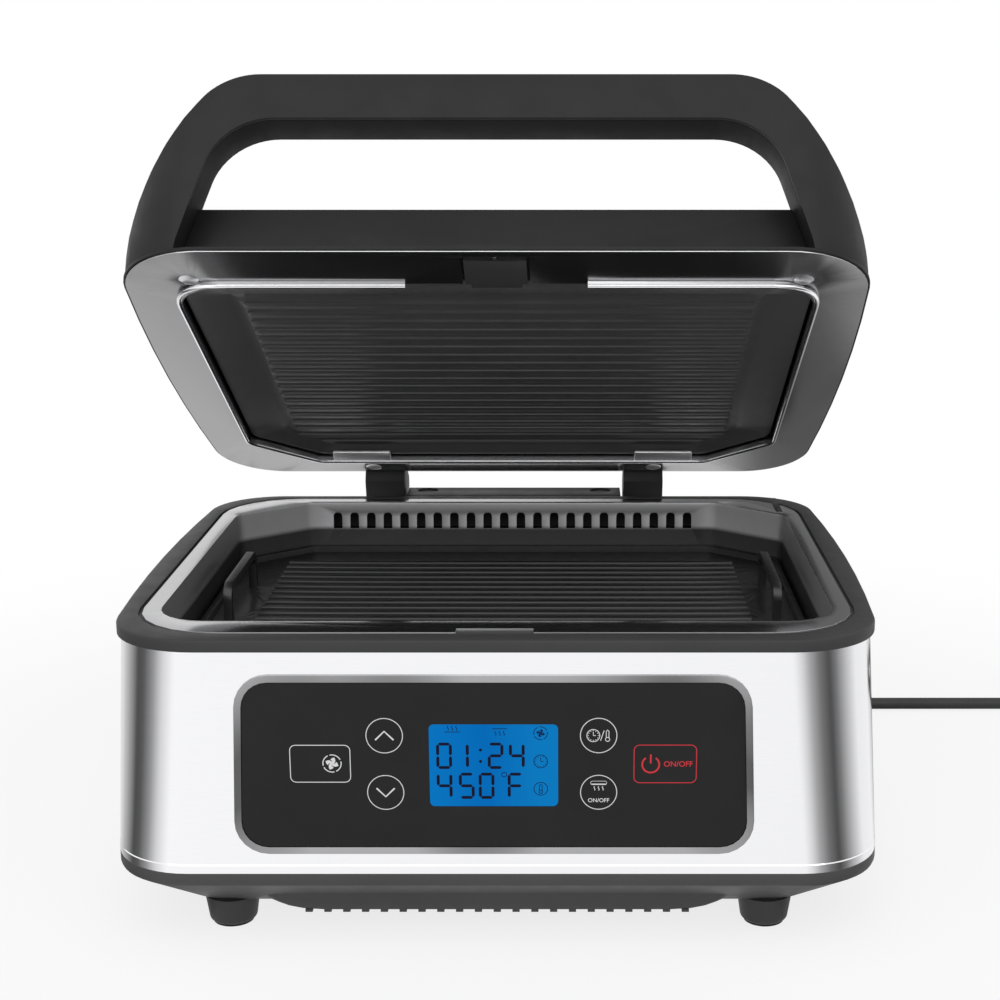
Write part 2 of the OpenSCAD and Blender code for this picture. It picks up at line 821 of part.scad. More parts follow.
// Route of the cord from the strain relief to the coil, from the rim's rear edge and the worktop
route = [
    [122, 32, 62], [122, 42, 61], [123, 51, 58], [126, 59, 52], [131, 65, 44], [138, 68, 35],
    [147, 69, 26], [158, 68, 18], [171, 65, 11], [186, 61, 6.5], [203, 56, 4.6], [222, 52, 4.3],
    [243, 50, 4.3], [265, 49, 4.3], [290, 49, 4.3], [316, 49, 4.3], [342, 49, 4.3], [368, 49, 4.3],
    [392, 49, 4.3], [416, 49, 4.3]
];
coil_x = 442;
coil_r = 47;
coil_y = 49 + coil_r;
// Short tail from the top of the coil to the plug
tail = [[452, 49, 13], [458, 48.5, 13], [464, 48, 13], [470, 47.5, 13], [476, 47, 13]];
plug_x = 476;
plug_y = 47;
plug_z = 13;
plug_neck = 14;

module behind_rim() place() translate([0, rim_d, 0]) children();

module strain_relief() {
    color(black) place() {
        rod_y(gland_x, rim_d - 6, rim_d - band_front - band_t, gland_z, gland_r + 2);
        rod_y(gland_x, rim_d - 2, rim_d + 3, gland_z, gland_r);
        translate([gland_x, rim_d + 1, gland_z]) rotate([-90, 0, 0])
            cylinder(h = relief_l - 1, r1 = gland_r - 0.5, r2 = cord_d / 2 + 0.9);
    }
}

module power_cord() {
    color(black) behind_rim() {
        sweep(route, cord_d / 2, 10);
        sweep(tail, cord_d / 2, 10);
    }
}

module cord_coil() {
    color(black) behind_rim() translate([coil_x, coil_y, 0])
    rotate_extrude() translate([coil_r, cord_d])
        polygon(box_line(-cord_d / 2, cord_d / 2, -cord_d, cord_d, 4));
}

module plug() {
    color(black) behind_rim() translate([plug_x + plug_neck, plug_y, 0]) {
        block(0, 26, -13, 13, 0, 26);
        translate([-plug_neck, 0, plug_z]) rotate([0, 90, 0])
            cylinder(h = plug_neck + 1, r1 = cord_d / 2 + 0.8, r2 = 11);
    }
}

module plug_prongs() {
    color(steel) behind_rim() translate([plug_x + plug_neck + 26, plug_y, 0]) {
        for (y = [-6.35, 6.35]) block(0, 18, y - 0.75, y + 0.75, 6.6, 13);
        rod_x(0, 20, 0, 21, 2.4);
    }
}

// ---------- pan and lower plate ----------
ledge_z = rim_h - ledge_depth;
lower_t = 8;
module cooking_pot() {
    color("#8d8f92") place()
    difference() {
        union() {
            slab(flange_line(0), seat_z, rim_h);
            loft([mouth(14 - pan_t), mouth(8 - pan_t), mouth(2 - pan_t), mouth(-pan_t)],
                [rim_h - pan_depth - pan_t, ledge_z - pan_t - 2, ledge_z - pan_t, seat_z + 0.2]);
        }
        loft([mouth(14), mouth(10), mouth(10)], [rim_h - pan_depth, ledge_z - 2, ledge_z + 1]);
        loft([mouth(2), mouth(0), mouth(0)], [ledge_z, seat_z, rim_h + over]);
        block(-20, 21, 0, flange_front + 7, 0, rim_h + over);
        block(mouth_x - 4.4, mouth_x + 0.4, flange_rear - 41, flange_rear + over,
            seat_z - over, rim_h + over);
        for (i = [0:slot_count - 1]) pan_slot((i - (slot_count - 1) / 2) * slot_pitch);
    }
}

module pan_slot(x) {
    rod_y(x, mouth_rear - 6, mouth_rear + 8, rim_h - 9.6, 3);
    block(x - 3, x + 3, mouth_rear - 6, mouth_rear + 8, rim_h - 18, rim_h - 9.6);
}

plate_in = 4.5;
bar_z = ledge_z;
bar_r = 2.2;
bar_pitch = 12.3;
bar_x = mouth_x - 35;
bar_first = mouth_front + 28.5;
bar_count = floor((mouth_rear - bar_first - 40) / bar_pitch) + 1;
module lower_grill_plate() {
    color(dark) place()
    difference() {
        union() {
            slab(mouth(plate_in), bar_z, bar_z + 4);
            difference() {
                slab(mouth(plate_in), bar_z, bar_z + lower_t);
                slab(mouth(plate_in + 4), bar_z - over, bar_z + lower_t + over);
            }
            for (i = [0:bar_count - 1]) rod_x(-bar_x, bar_x, bar_first + i * bar_pitch, bar_z + 4, bar_r);
            mirror_x() lug();
        }
        for (i = [0:bar_count - 2]) plate_slots(bar_first + (i + 0.5) * bar_pitch);
    }
}

// A pair of slots between two bars
module plate_slots(y) {
    mirror_x() block(8, bar_x, y - 2, y + 2, bar_z - over, bar_z + lower_t);
}

// Lifting lug: an open loop of flat bar
lug_half = 45;
lug_t = 5;
lug_bar = 5.5;
module lug() {
    top = rim_h - lug_drop;
    across_lug(lug_line(lug_half, bar_z + 2, top, 10),
        lug_line(lug_half - lug_bar, bar_z + 3.5, top - 4.5, 6));
}

// Loop of the lug seen from the side: half length, foot, top and corner radius
function lug_line(half, z0, z1, r) =
    let (mid = pan_mid + 2)
    concat(
        [[mid - half, z0], [mid + half, z0]],
        arc([mid + half - r, z1 - r], r, 0, 90, 6),
        arc([mid - half + r, z1 - r], r, 90, 180, 6)
    );

module across_lug(outer, inner) {
    x = mouth_x - 23.5;
    difference() {
        across(outer, x, x + lug_t);
        across(inner, x - over, x + lug_t + over);
    }
}

// ---------- lid ----------
// Rounded shoulder of the lid: inset and height of each ring
shoulder_rings = [[0, 9], [2.5, 17], [8, 25], [15, 31], [24, lid_h - cover_t]];
module shoulder(t, z0) {
    loft(concat([rim(t)], [for (s = shoulder_rings) rim(s[0] + t)]),
        concat([z0], [for (s = shoulder_rings) s[1] - t * (s[0] + 3) / 27]));
}

module behind_handle(t) {
    difference() {
        children();
        block(-rim_w, rim_w, -rim_w, handle_reach + gap + t, -over, 2 * lid_h);
    }
}

// Part of the lid's front between the arms of the handle, inset by t
module between_arms(t) {
    intersection() {
        children();
        facing(arch_line(grip_hi, grip_lo, grip_r - gap - t, -over), 0, rim_d);
    }
}

reflector_x = rim_w / 2 - 90;
reflector_y = rim_d / 5;
module lid_bosses() {
    mirror_x() {
        disc(screw_front_x, screw_front_y, trim_z, lid_h - 2, 6);
        block(arm_x - 4, arm_x + arm_w + 4, rim_d - 28, rim_d, shell_low, 12);
        disc(reflector_x, mid_y - reflector_y, 23, lid_h - 2, 5);
        disc(reflector_x, mid_y + reflector_y, 23, lid_h - 2, 5);
    }
    latch_box();
}

module latch_box() {
    block(-latch_x - 6, latch_x + 6, 7, 36, shell_low, latch_roof);
}

module lid_solid() {
    loft([rim(), rim(), rim(0.4)], [shell_low, shell_rim - 0.4, shell_rim]);
    behind_handle(0) shoulder(0, shell_low);
    loft([rim(dome_in), rim(dome_in + 1), rim(dome_in + 3.5)], [shell_low, lid_h - 5, lid_h - cover_t]);
    between_arms(0) across(fascia_side(), -rim_w / 2, rim_w / 2);
}

module lid_hollow() {
    slab(rim(dome_in + wall), -over, lid_h - cover_t - wall);
    behind_handle(wall) shoulder(wall, -over);
    between_arms(wall)
        block(-rim_w / 2, rim_w / 2, fascia_y + wall, fascia_back, -over, lid_h - cover_t - wall);
}

module lid_shell() {
    color(black) on_lid()
    difference() {
        union() {
            difference() {
                lid_solid();
                lid_hollow();
            }
            intersection() {
                lid_bosses();
                union() {
                    lid_solid();
                    latch_box();
                }
            }
            mirror_x() for (p = handle_screw_places()) disc(p[0], p[1], shell_low, plinth_z, plinth_r);
        }
        slab(rim(trim_in - 0.2), -over, trim_z);
        slab(lip(-0.4), -over, plate_top + 1);
        mirror_x() {
            disc(screw_front_x, screw_front_y, -over, trim_z + 12, screw_r + fit);
            block(arm_x - 1, arm_x + arm_w + 1, rim_d - 25, rim_d + over, -over, trim_z + tongue_t);
            disc(screw_rear_x, screw_rear_y, -over, 11, screw_r + fit);
            for (p = handle_screw_places()) {
                disc(p[0], p[1], -over, plinth_z + over, screw_r + fit);
                disc(p[0], p[1], -over, trim_z + head_h, head_r + 0.2);
            }
        }
        block(-latch_x - 0.5, latch_x + 0.5, latch_y0 - latch_travel - 1.2, 46, -over, latch_top + 0.4);
    }
}

latch_top = 6;
latch_roof = latch_top + 1.8;
function handle_screw_places() = [[rim_w / 2 - 24, 38], [rim_w / 2 - 19.5, 57]];

function fascia_side() = concat(
    [[fascia_y, shell_low], [fascia_back, shell_low], [fascia_back, lid_h - cover_t]],
    arc([fascia_y + 1.8, lid_h - cover_t - 1.8], 1.8, 90, 180, 4));

module lid_top_cover() {
    color(steel) on_lid() {
        loft([rim(dome_in + 4), rim(dome_in + 5.5)], [lid_h - cover_t, lid_h]);
    }
}

module lid_trim() {
    color("#8a8a8e") on_lid()
    difference() {
        union() {
            slab(rim(trim_in), lid_gap, trim_z);
            slab(lip(0), -lip_drop, plate_top);
        }
        slab(lip(lip_t), -lip_drop - over, plate_low);
        slab(lip(1.2), plate_low - 1, plate_top + over);
        block(-50, 50, lip_front - 1, lip_front + 8, -lip_drop - over, lid_gap);
        block(-latch_x - 1.5, latch_x + 1.5, 8, 46, -lip_drop - over, plate_top + over);
        mirror_x() {
            countersink(screw_front_x, screw_front_y);
            countersink(screw_rear_x, screw_rear_y);
        }
    }
}

sink_r = 5.8;
module countersink(x, y) {
    translate([x, y, lid_gap - 0.01]) cylinder(h = trim_t + 0.02, r1 = sink_r, r2 = sink_r - 1.5);
}

module lid_screws() {
    color(steel) on_lid() mirror_x() {
        lid_screw(screw_front_x, screw_front_y);
        lid_screw(screw_rear_x, screw_rear_y);
    }
}

module lid_screw(x, y) {
    translate([x, y, lid_gap + 0.2]) cylinder(h = trim_t - 0.2, r1 = sink_r - 0.35, r2 = sink_r - 1.65);
    disc(x, y, trim_z - fit, 10.5, screw_r - fit);
}

// Arch of the handle seen from the front: half width at the rim, then radius and end angle of the arcs
arch_x = rim_w / 2 - 5.5;
arch_low_r = 68;
arch_low_a = 20;
arch_side_r = 214;
arch_side_a = 42;
grip_hi = [rim_w / 2 - 90.5, grip_h - 38];
grip_lo = [rim_w / 2 - 78, 0];
grip_r = 38;

function turned(a) = [cos(a), sin(a)];

// Outer outline from the rim up, inset by t: three arcs a side, tangent to each other
function outer_arch(t) =
    let (
        c_low = [arch_x - arch_low_r, 0],
        c_side = c_low + (arch_low_r - arch_side_r) * turned(arch_low_a),
        bend = c_side + arch_side_r * turned(arch_side_a),
        r_top = (handle_h - bend[1]) / (1 - sin(arch_side_a)),
        c_top = bend - r_top * turned(arch_side_a),
        half = concat(
            arc(c_low, arch_low_r - t, 0, arch_low_a, 4),
            inner_arc(c_side, arch_side_r - t, arch_low_a, arch_side_a, 5),
            arc(c_top, r_top - t, arch_side_a, 90, corner_n)
        )
    )
    concat(half, mirrored(half));

// Outline round two circles a side, tangent to both, from the rim up
function arch_line(hi, lo, r, z0) =
    let (
        d = lo - hi,
        a = atan2(d[1], d[0]) + 90,
        edge = lo + r * [cos(a), sin(a)],
        top = hi + r * [cos(a), sin(a)],
        half = concat([[lo[0] + r, z0]], inner_arc(lo, r, 0, a, 6), arc(hi, r, a, 90, corner_n))
    )
    concat(half, mirrored(half));

handle_reach = 64;
handle_z = shell_rim;
cap_t = 3;
seam_w = 0.6;
seam_d = 1.2;

// Band of the handle between two insets from the rim, its section shrunk by t
module arch(inset0, inset1, t = 0) {
    difference() {
        intersection() {
            difference() {
                slab(rim(inset0), handle_z, handle_h + 2);
                slab(rim(inset1), handle_z - over, handle_h + 3);
            }
            facing(outer_arch(t), -over, handle_reach);
        }
        facing(arch_line(grip_hi, grip_lo, grip_r + t, -over), -2, handle_d + 20);
    }
}

module handle_front() {
    color(dark) on_lid() arch(0.6, cap_t);
}

module handle_rear() {
    color(black) on_lid()
    difference() {
        union() {
            arch(cap_t + seam_w, handle_d);
            arch(cap_t, cap_t + seam_w + 0.2, seam_d);
        }
        mirror_x() for (p = handle_screw_places()) {
            disc(p[0], p[1], 0, plinth_z + 0.1, plinth_r + 0.2);
            disc(p[0], p[1], 0, plinth_z + 10, screw_r + fit);
        }
    }
}

module handle_screws() {
    color(zinc) on_lid() mirror_x()
    for (p = handle_screw_places()) {
        disc(p[0], p[1], trim_z + 0.2, trim_z + head_h, head_r);
        disc(p[0], p[1], trim_z + head_h - over, plinth_z + 9, screw_r - fit);
    }
}

// Hinge arm in the closed lid's frame: barrel, neck and the tongue under the lid's rear edge
neck_y = rim_d + 2;
function arm_side() = concat(
    arc([hinge_y, -hinge_drop], barrel_r, -160, 10, 10),
    [[hinge_y + barrel_r - 1, -4]],
    arc([hinge_y - arm_top_in, 0], arm_top_r, 0, 60, 5),
    [[rim_d + 6, trim_z + tongue_t + 3], [rim_d + 0.5, trim_z + tongue_t],
     [rim_d - 24, trim_z + tongue_t], [rim_d - 24, trim_z], [neck_y, trim_z], [neck_y, -6]]);

module hinge_arm() {
    difference() {
        across(arm_side(), arm_x, arm_x + arm_w);
        rod_x(arm_x - over, arm_x + arm_w + over, hinge_y, -hinge_drop, pin_r + fit);
        disc(screw_rear_x, screw_rear_y, 0, trim_z + tongue_t + over, screw_r + fit);
    }
}

module hinge_arm_right() {
    color(black) on_lid() hinge_arm();
}

module hinge_arm_left() {
    color(black) on_lid() mirror([1, 0, 0]) hinge_arm();
}

module lid_reflector() {
    color(zinc) on_lid() {
        slab(lip(12), 22, 23);
        difference() {
            slab(lip(12), plate_top, 22.5);
            slab(lip(13.2), plate_top - over, 23);
        }
    }
}

module upper_heater() {
    color(dark) on_lid()
    heater_loop(heater_x, heater_y, heater_pitch, heater_runs, plate_top + heater_r + 0.1);
}

rib_w = 7;
rib_h = 1.2;
rib_first = lip_front + 47.6;
rib_pitch = (lip_rear - lip_front - 61.5) / (rib_count - 1);
rib_x = lip_x - 33;
dish_in = plate_in + 23;
dish_front = lip_front + 6;
dish_rear = lip_rear + 15;
module upper_grill_plate() {
    color("#303032") on_lid() {
        difference() {
            slab(lip(plate_in), plate_low, plate_top);
            loft([lip(plate_in + 2), pan_line(lip_x, dish_front, dish_rear, dish_in - 1),
                pan_line(lip_x, dish_front, dish_rear, dish_in)], [plate_low - 0.01, dish_z - 0.6, dish_z]);
        }
        for (i = [0:rib_count - 1]) rib(rib_first + i * rib_pitch);
    }
}

// Flat raised rib, shorter where the rear corners are cut off
module rib(y) {
    x = rib_x - max(0, y - lip_rear + 26) * 1.1;
    slab(rounded([[-x, y - rib_w / 2], [x, y - rib_w / 2], [x, y + rib_w / 2], [-x, y + rib_w / 2]],
        [3, 3, 3, 3], 3), dish_z - rib_h, dish_z + over);
}

clip_w = 40;
clip_x = lip_x - pan_cx - 10 - clip_w;
module plate_clips() {
    color(steel) on_lid() mirror_x()
    across([[lip_rear - 12, 2.6], [lip_rear - 12, 1], [lip_rear - 5, -1.8], [lip_rear - lip_t, -1.8],
        [lip_rear - lip_t, 2.6]], clip_x, clip_x + clip_w);
}

latch_y0 = 13;
latch_y1 = 41;
latch_travel = 4;
module plate_latch() {
    color(dark) on_lid()
    difference() {
        union() {
            block(-latch_x, latch_x, latch_y0, latch_y1, 0.6, latch_top);
            block(-latch_x + 3, latch_x - 3, latch_y1 - over, latch_y1 + 4.4, 0.6, plate_low - gap);
        }
        rod_y(0, latch_y0 - over, 31, 3.4, 1.9);
    }
}

module latch_spring() {
    color(steel) on_lid()
    sweep([for (i = [0:64]) [1.2 * cos(i * 45), 8.2 + i * 0.26, 3.4 + 1.2 * sin(i * 45)]], 0.25, 6);
}

bottom_cover();
base_screws();
feet();
foot_pads();
body_band();
top_bezel();
panel_frame();
touch_panel();
lcd_display();
control_board();
power_board();
heat_well();
lower_heater();
heater_brackets();
temp_sensor();
fan_shroud();
fan_motor();
fan_impeller();
exhaust_grille();
hinge_housing();
hinge_plugs();
hinge_pins();
friction_washers();
strain_relief();
power_cord();
cord_coil();
plug();
plug_prongs();
cooking_pot();
lower_grill_plate();
lid_shell();
lid_top_cover();
lid_trim();
lid_screws();
handle_front();
handle_rear();
handle_screws();
hinge_arm_left();
hinge_arm_right();
lid_reflector();
upper_heater();
upper_grill_plate();
plate_clips();
plate_latch();
latch_spring();
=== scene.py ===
import json
import math

import bmesh
import bpy
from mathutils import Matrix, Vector


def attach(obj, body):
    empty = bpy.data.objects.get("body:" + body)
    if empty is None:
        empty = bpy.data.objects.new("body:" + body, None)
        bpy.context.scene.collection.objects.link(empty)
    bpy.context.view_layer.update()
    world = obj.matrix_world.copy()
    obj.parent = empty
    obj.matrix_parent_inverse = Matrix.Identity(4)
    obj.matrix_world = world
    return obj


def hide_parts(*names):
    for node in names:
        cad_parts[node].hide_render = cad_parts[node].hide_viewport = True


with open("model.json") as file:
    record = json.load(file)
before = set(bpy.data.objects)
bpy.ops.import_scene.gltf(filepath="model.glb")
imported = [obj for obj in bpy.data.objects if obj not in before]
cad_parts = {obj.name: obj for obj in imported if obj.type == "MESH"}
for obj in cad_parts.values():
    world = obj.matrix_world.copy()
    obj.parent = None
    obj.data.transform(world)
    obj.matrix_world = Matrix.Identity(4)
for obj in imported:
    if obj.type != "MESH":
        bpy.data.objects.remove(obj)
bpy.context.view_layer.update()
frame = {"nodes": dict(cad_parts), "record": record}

MM = 0.001
nodes = frame["nodes"]

# Places shared with the frame, in millimetres from the rim's front edge
FRONT = 200.951
RIM_H = 176.5
HINGE_Y = 382.3
PANEL_MID = 68.4
HINGE_DROP = 21.5
LID_OPEN = math.radians(31)


def at(x, y, z):
    """A point given in millimetres from the front edge and the worktop, in metres."""
    return Vector((x, y - FRONT, z)) * MM


def on_lid(x, y, z):
    """A point of the closed lid, its height measured above the rim, carried to the rest pose."""
    dy, dz = y - HINGE_Y, z + HINGE_DROP
    c, s = math.cos(LID_OPEN), math.sin(LID_OPEN)
    return at(x, HINGE_Y + dy * c + dz * s, RIM_H - HINGE_DROP - dy * s + dz * c)


# ---------- camera, floor and light ----------
SENSOR = 36
LENS = 63.743
SHIFT = (-0.0708, 0.0559)
EYE = (40.67, -877.9, 445.3)
LOOK_DOWN = 14.295  # degrees


def add_camera():
    """The photograph's camera, fitted to its outlines."""
    cam = bpy.data.cameras.new("view")
    cam.sensor_width = SENSOR
    cam.lens = LENS
    cam.shift_x, cam.shift_y = SHIFT
    cam.clip_end = 50
    ob = bpy.data.objects.new("view", cam)
    ob.location = at(*EYE)
    ob.rotation_euler = (math.radians(90 - LOOK_DOWN), 0, 0)
    bpy.context.scene.collection.objects.link(ob)
    bpy.context.scene.camera = ob


KEY_PLACE, KEY_TARGET = (0, -1.45, 1.7), (0, 0, 0.2)  # metres
KEY_SIZE = (3.2, 2.0)
KEY_POWER = 26  # watts


def area_light(name, place, target, size, power):
    data = bpy.data.lights.new(name, "AREA")
    data.shape = "RECTANGLE"
    data.size, data.size_y = size
    data.energy = power
    ob = bpy.data.objects.new(name, data)
    ob.location = place
    ob.rotation_euler = (Vector(target) - Vector(place)).to_track_quat("-Z", "Y").to_euler()
    bpy.context.scene.collection.objects.link(ob)


def fill_ramp(ramp, stops):
    """Put the stops, in rising order, on a ramp that still has its first two."""
    ends = ramp.elements
    ends[0].position, ends[1].position = stops[0][0], stops[-1][0]
    for place, _ in stops[1:-1]:
        ends.new(place)
    for element, (_, value) in zip(ramp.elements, stops):
        element.color = (value, value, value, 1) if isinstance(value, (int, float)) else (*value, 1)


class Tree:
    """Short helpers for the nodes of a world or a stage material."""

    def __init__(self, tree):
        self.tree = tree
        tree.nodes.clear()

    def node(self, kind, operation=None, **inputs):
        n = self.tree.nodes.new(kind)
        if operation:
            n.operation = operation
        for key, value in inputs.items():
            n.inputs[key].default_value = value
        return n

    def math(self, operation, *values):
        n = self.node("ShaderNodeMath", operation)
        for socket, value in zip(n.inputs, values):
            self.put(value, socket)
        return n.outputs[0]

    def put(self, value, socket):
        if isinstance(value, (int, float)):
            socket.default_value = value
        else:
            self.tree.links.new(value, socket)

    def mix(self, factor, a, b):
        n = self.tree.nodes.new("ShaderNodeMixShader")
        for value, socket in zip((factor, a, b), n.inputs):
            self.put(value, socket)
        return n.outputs[0]

    def span(self, value, low, high, to_low, to_high):
        n = self.tree.nodes.new("ShaderNodeMapRange")
        n.interpolation_type = "SMOOTHSTEP"
        for v, socket in zip((value, low, high, to_low, to_high), n.inputs):
            self.put(v, socket)
        return n.outputs[0]

    def tone(self, turn, stops):
        """A grey that follows a direction, given in degrees to the right of straight ahead."""
        t = self.math("MULTIPLY_ADD", turn, 0.5 / math.pi, 0.5)
        n = self.tree.nodes.new("ShaderNodeValToRGB")
        fill_ramp(n.color_ramp, [(degrees / 360 + 0.5, value) for degrees, value in stops])
        self.put(t, n.inputs[0])
        return n.outputs[0]

    def shown(self):
        """1 where the camera, a reflection or glass looks, 0 where light is gathered."""
        path = self.tree.nodes.new("ShaderNodeLightPath")
        both = self.math("MAXIMUM", path.outputs["Is Camera Ray"], path.outputs["Is Glossy Ray"])
        return self.math("MAXIMUM", both, path.outputs["Is Transmission Ray"]), path.outputs["Is Glossy Ray"]


SKY = 0.62  # strength of the world as light
# Painted reflection: tones of the surroundings that only reflections see, by direction: (degrees to the right of
# straight ahead, tone)
PAINTED_REFLECTION_BEHIND = [(-180, 0.8), (-172, 1.0), (140, 1.0), (160, 0.2), (176, 0.2), (180, 0.8)]


def add_world():
    """White to look at, with a painted reflection: one dark flag behind on the right that only reflections see; a plain
    sky as light.
    """
    world = bpy.data.worlds.new("studio")
    bpy.context.scene.world = world
    world.use_nodes = True
    world.cycles.sampling_method = "NONE"
    t = Tree(world.node_tree)
    shown, glossy = t.shown()
    sky = t.node("ShaderNodeBackground", Strength=SKY)
    sky.inputs["Color"].default_value = (1, 1, 1, 1)
    white = t.node("ShaderNodeBackground")
    white.inputs["Color"].default_value = (1, 1, 1, 1)
    painted_reflection_sky = t.node("ShaderNodeBackground")
    way = t.node("ShaderNodeSeparateXYZ")
    t.put(t.tree.nodes.new("ShaderNodeTexCoord").outputs["Generated"], way.inputs[0])
    turn = t.math("ARCTAN2", way.outputs["X"], t.math("MULTIPLY", way.outputs["Y"], -1.0))
    # painted reflection: only reflections see the surroundings darker, behind on the right and low down
    dark = t.math("SUBTRACT", 1.0, t.tone(turn, PAINTED_REFLECTION_BEHIND))
    low = t.span(way.outputs["Z"], 0.45, 0.75, 1.0, 0.0)
    t.put(t.math("SUBTRACT", 1.0, t.math("MULTIPLY", dark, low)), painted_reflection_sky.inputs["Color"])
    look = t.mix(glossy, white.outputs[0], painted_reflection_sky.outputs[0])
    out = t.node("ShaderNodeOutputWorld")
    t.put(t.mix(shown, sky.outputs[0], look), out.inputs[0])


# Painted reflection: tones of the floor that only reflections see, by direction about each front corner of the steel
# band
CORNER = (0.165, -0.165)
LEFT_PAINTED_REFLECTION = [(-180, 0.9), (-135, 0.75), (-106, 0.3), (-93, 0.07), (-81, 0.1), (-66, 0.30), (-52, 0.7), (-36, 1.0),
             (180, 0.9)]
RIGHT_PAINTED_REFLECTION = [(-180, 1.0), (12, 1.0), (18, 0.8), (29, 0.42), (42, 0.18), (56, 0.07), (66, 0.2), (82, 0.55), (100, 0.95),
              (130, 1.0), (150, 0.6), (160, 0.22), (174, 0.22), (180, 1.0)]


FLOOR_HALF = 6
FLOOR_DROP = 0.0002
FLOOR_FADE = (0.3, 0.8)  # metres from the middle over which the floor turns pure white


def add_floor():
    """Pale floor with the object's shadow, pure white further out; a painted reflection of dark wedges at two corners
    that only reflections see.
    """
    mesh = bpy.data.meshes.new("floor")
    s = FLOOR_HALF
    mesh.from_pydata([(-s, -s, 0), (s, -s, 0), (s, s, 0), (-s, s, 0)], [], [(0, 1, 2, 3)])
    floor = bpy.data.objects.new("floor", mesh)
    floor.location.z = -FLOOR_DROP
    bpy.context.scene.collection.objects.link(floor)
    mat = bpy.data.materials.new("floor_pale")
    mat.use_nodes = True
    mat.cycles.emission_sampling = "NONE"
    t = Tree(mat.node_tree)
    shown, glossy = t.shown()
    plain = t.node("ShaderNodeBsdfDiffuse")
    plain.inputs["Color"].default_value = (0.82, 0.82, 0.82, 1)
    glow = t.node("ShaderNodeEmission", Strength=1.0)
    place = t.node("ShaderNodeSeparateXYZ")
    coord = t.tree.nodes.new("ShaderNodeTexCoord").outputs["Object"]
    t.put(coord, place.inputs[0])
    tones = []
    # painted reflection: dark wedges about each front corner of the steel band, seen only in reflections
    for side, stops in ((-1, LEFT_PAINTED_REFLECTION), (1, RIGHT_PAINTED_REFLECTION)):
        x = t.math("SUBTRACT", place.outputs["X"], side * CORNER[0])
        y = t.math("SUBTRACT", CORNER[1], place.outputs["Y"])
        tones.append(t.tone(t.math("ARCTAN2", x, y), stops))
    painted_reflection_tone = t.math("MULTIPLY", *tones)
    tone = t.math("SUBTRACT", 1.0, t.math("MULTIPLY", glossy, t.math("SUBTRACT", 1.0, painted_reflection_tone)))
    t.put(tone, glow.inputs["Color"])
    far = t.node("ShaderNodeVectorMath", "LENGTH")
    t.put(coord, far.inputs[0])
    fade = t.span(far.outputs["Value"], *FLOOR_FADE, 0.8, 1.0)
    fade = t.math("MAXIMUM", fade, glossy)
    look = t.mix(fade, plain.outputs[0], glow.outputs[0])
    out = t.node("ShaderNodeOutputMaterial")
    t.put(t.mix(shown, plain.outputs[0], look), out.inputs[0])
    mesh.materials.append(mat)


# ---------- materials ----------
class Shader:
    """A node material on the Principled shader, with short helpers."""

    def __init__(self, name):
        self.mat = bpy.data.materials.new(name)
        self.mat.use_nodes = True
        self.tree = self.mat.node_tree
        self.bsdf = self.tree.nodes["Principled BSDF"]
        self.coord = self.tree.nodes.new("ShaderNodeTexCoord").outputs["Object"]

    def node(self, kind, **inputs):
        n = self.tree.nodes.new(kind)
        for key, value in inputs.items():
            n.inputs[key.replace("_", " ")].default_value = value
        return n

    def link(self, a, b):
        self.tree.links.new(a, b)

    def set(self, **values):
        for key, value in values.items():
            self.bsdf.inputs[key.replace("_", " ")].default_value = value
        return self

    def stretched(self, scale):
        n = self.node("ShaderNodeMapping")
        n.inputs["Scale"].default_value = scale
        self.link(self.coord, n.inputs["Vector"])
        return n.outputs["Vector"]

    def noise(self, scale, detail=3, rough=0.6, stretch=None):
        n = self.node("ShaderNodeTexNoise", Scale=scale, Detail=detail, Roughness=rough)
        self.link(self.stretched(stretch) if stretch else self.coord, n.inputs["Vector"])
        return n.outputs["Fac"]

    def ramp(self, source, stops):
        n = self.node("ShaderNodeValToRGB")
        fill_ramp(n.color_ramp, stops)
        self.link(source, n.inputs["Fac"])
        return n.outputs["Color"]

    def blend(self, factor, a, b):
        n = self.node("ShaderNodeMix")
        n.data_type = "RGBA"
        self.link(factor, n.inputs["Factor"])
        self.link(a, n.inputs["A"])
        if isinstance(b, tuple):
            n.inputs["B"].default_value = (*b, 1)
        else:
            self.link(b, n.inputs["B"])
        return n.outputs["Result"]

    def math(self, operation, *values):
        n = self.node("ShaderNodeMath")
        n.operation = operation
        for socket, value in zip(n.inputs, values):
            if isinstance(value, (int, float)):
                socket.default_value = value
            else:
                self.link(value, socket)
        return n.outputs[0]

    def flecked(self, base, amount):
        cells = self.node("ShaderNodeTexVoronoi", Scale=900.0)
        self.link(self.coord, cells.inputs["Vector"])
        spots = self.ramp(cells.outputs["Distance"], [(0.0, amount), (0.09, 0.0)])
        return self.blend(spots, base, (0.2, 0.2, 0.2))

    def bump(self, height, strength, distance):
        n = self.node("ShaderNodeBump", Strength=strength, Distance=distance)
        self.link(height, n.inputs["Height"])
        self.link(n.outputs["Normal"], self.bsdf.inputs["Normal"])

    def drive(self, socket, source):
        self.link(source, self.bsdf.inputs[socket])


def plastic(name, low, high, rough, shine=0.18, grain=1500, depth=0.00004, strength=0.2):
    """Moulded plastic: a fine even grain, faint cloudy tone and uneven gloss."""
    m = Shader(name)
    m.set(Specular_IOR_Level=shine)
    m.drive("Base Color", m.ramp(m.noise(18, 4), [(0.3, low), (0.7, high)]))
    m.drive("Roughness", m.ramp(m.noise(60, 4), [(0.3, rough - 0.05), (0.7, rough + 0.06)]))
    m.bump(m.noise(grain, 2), strength, depth)
    return m.mat


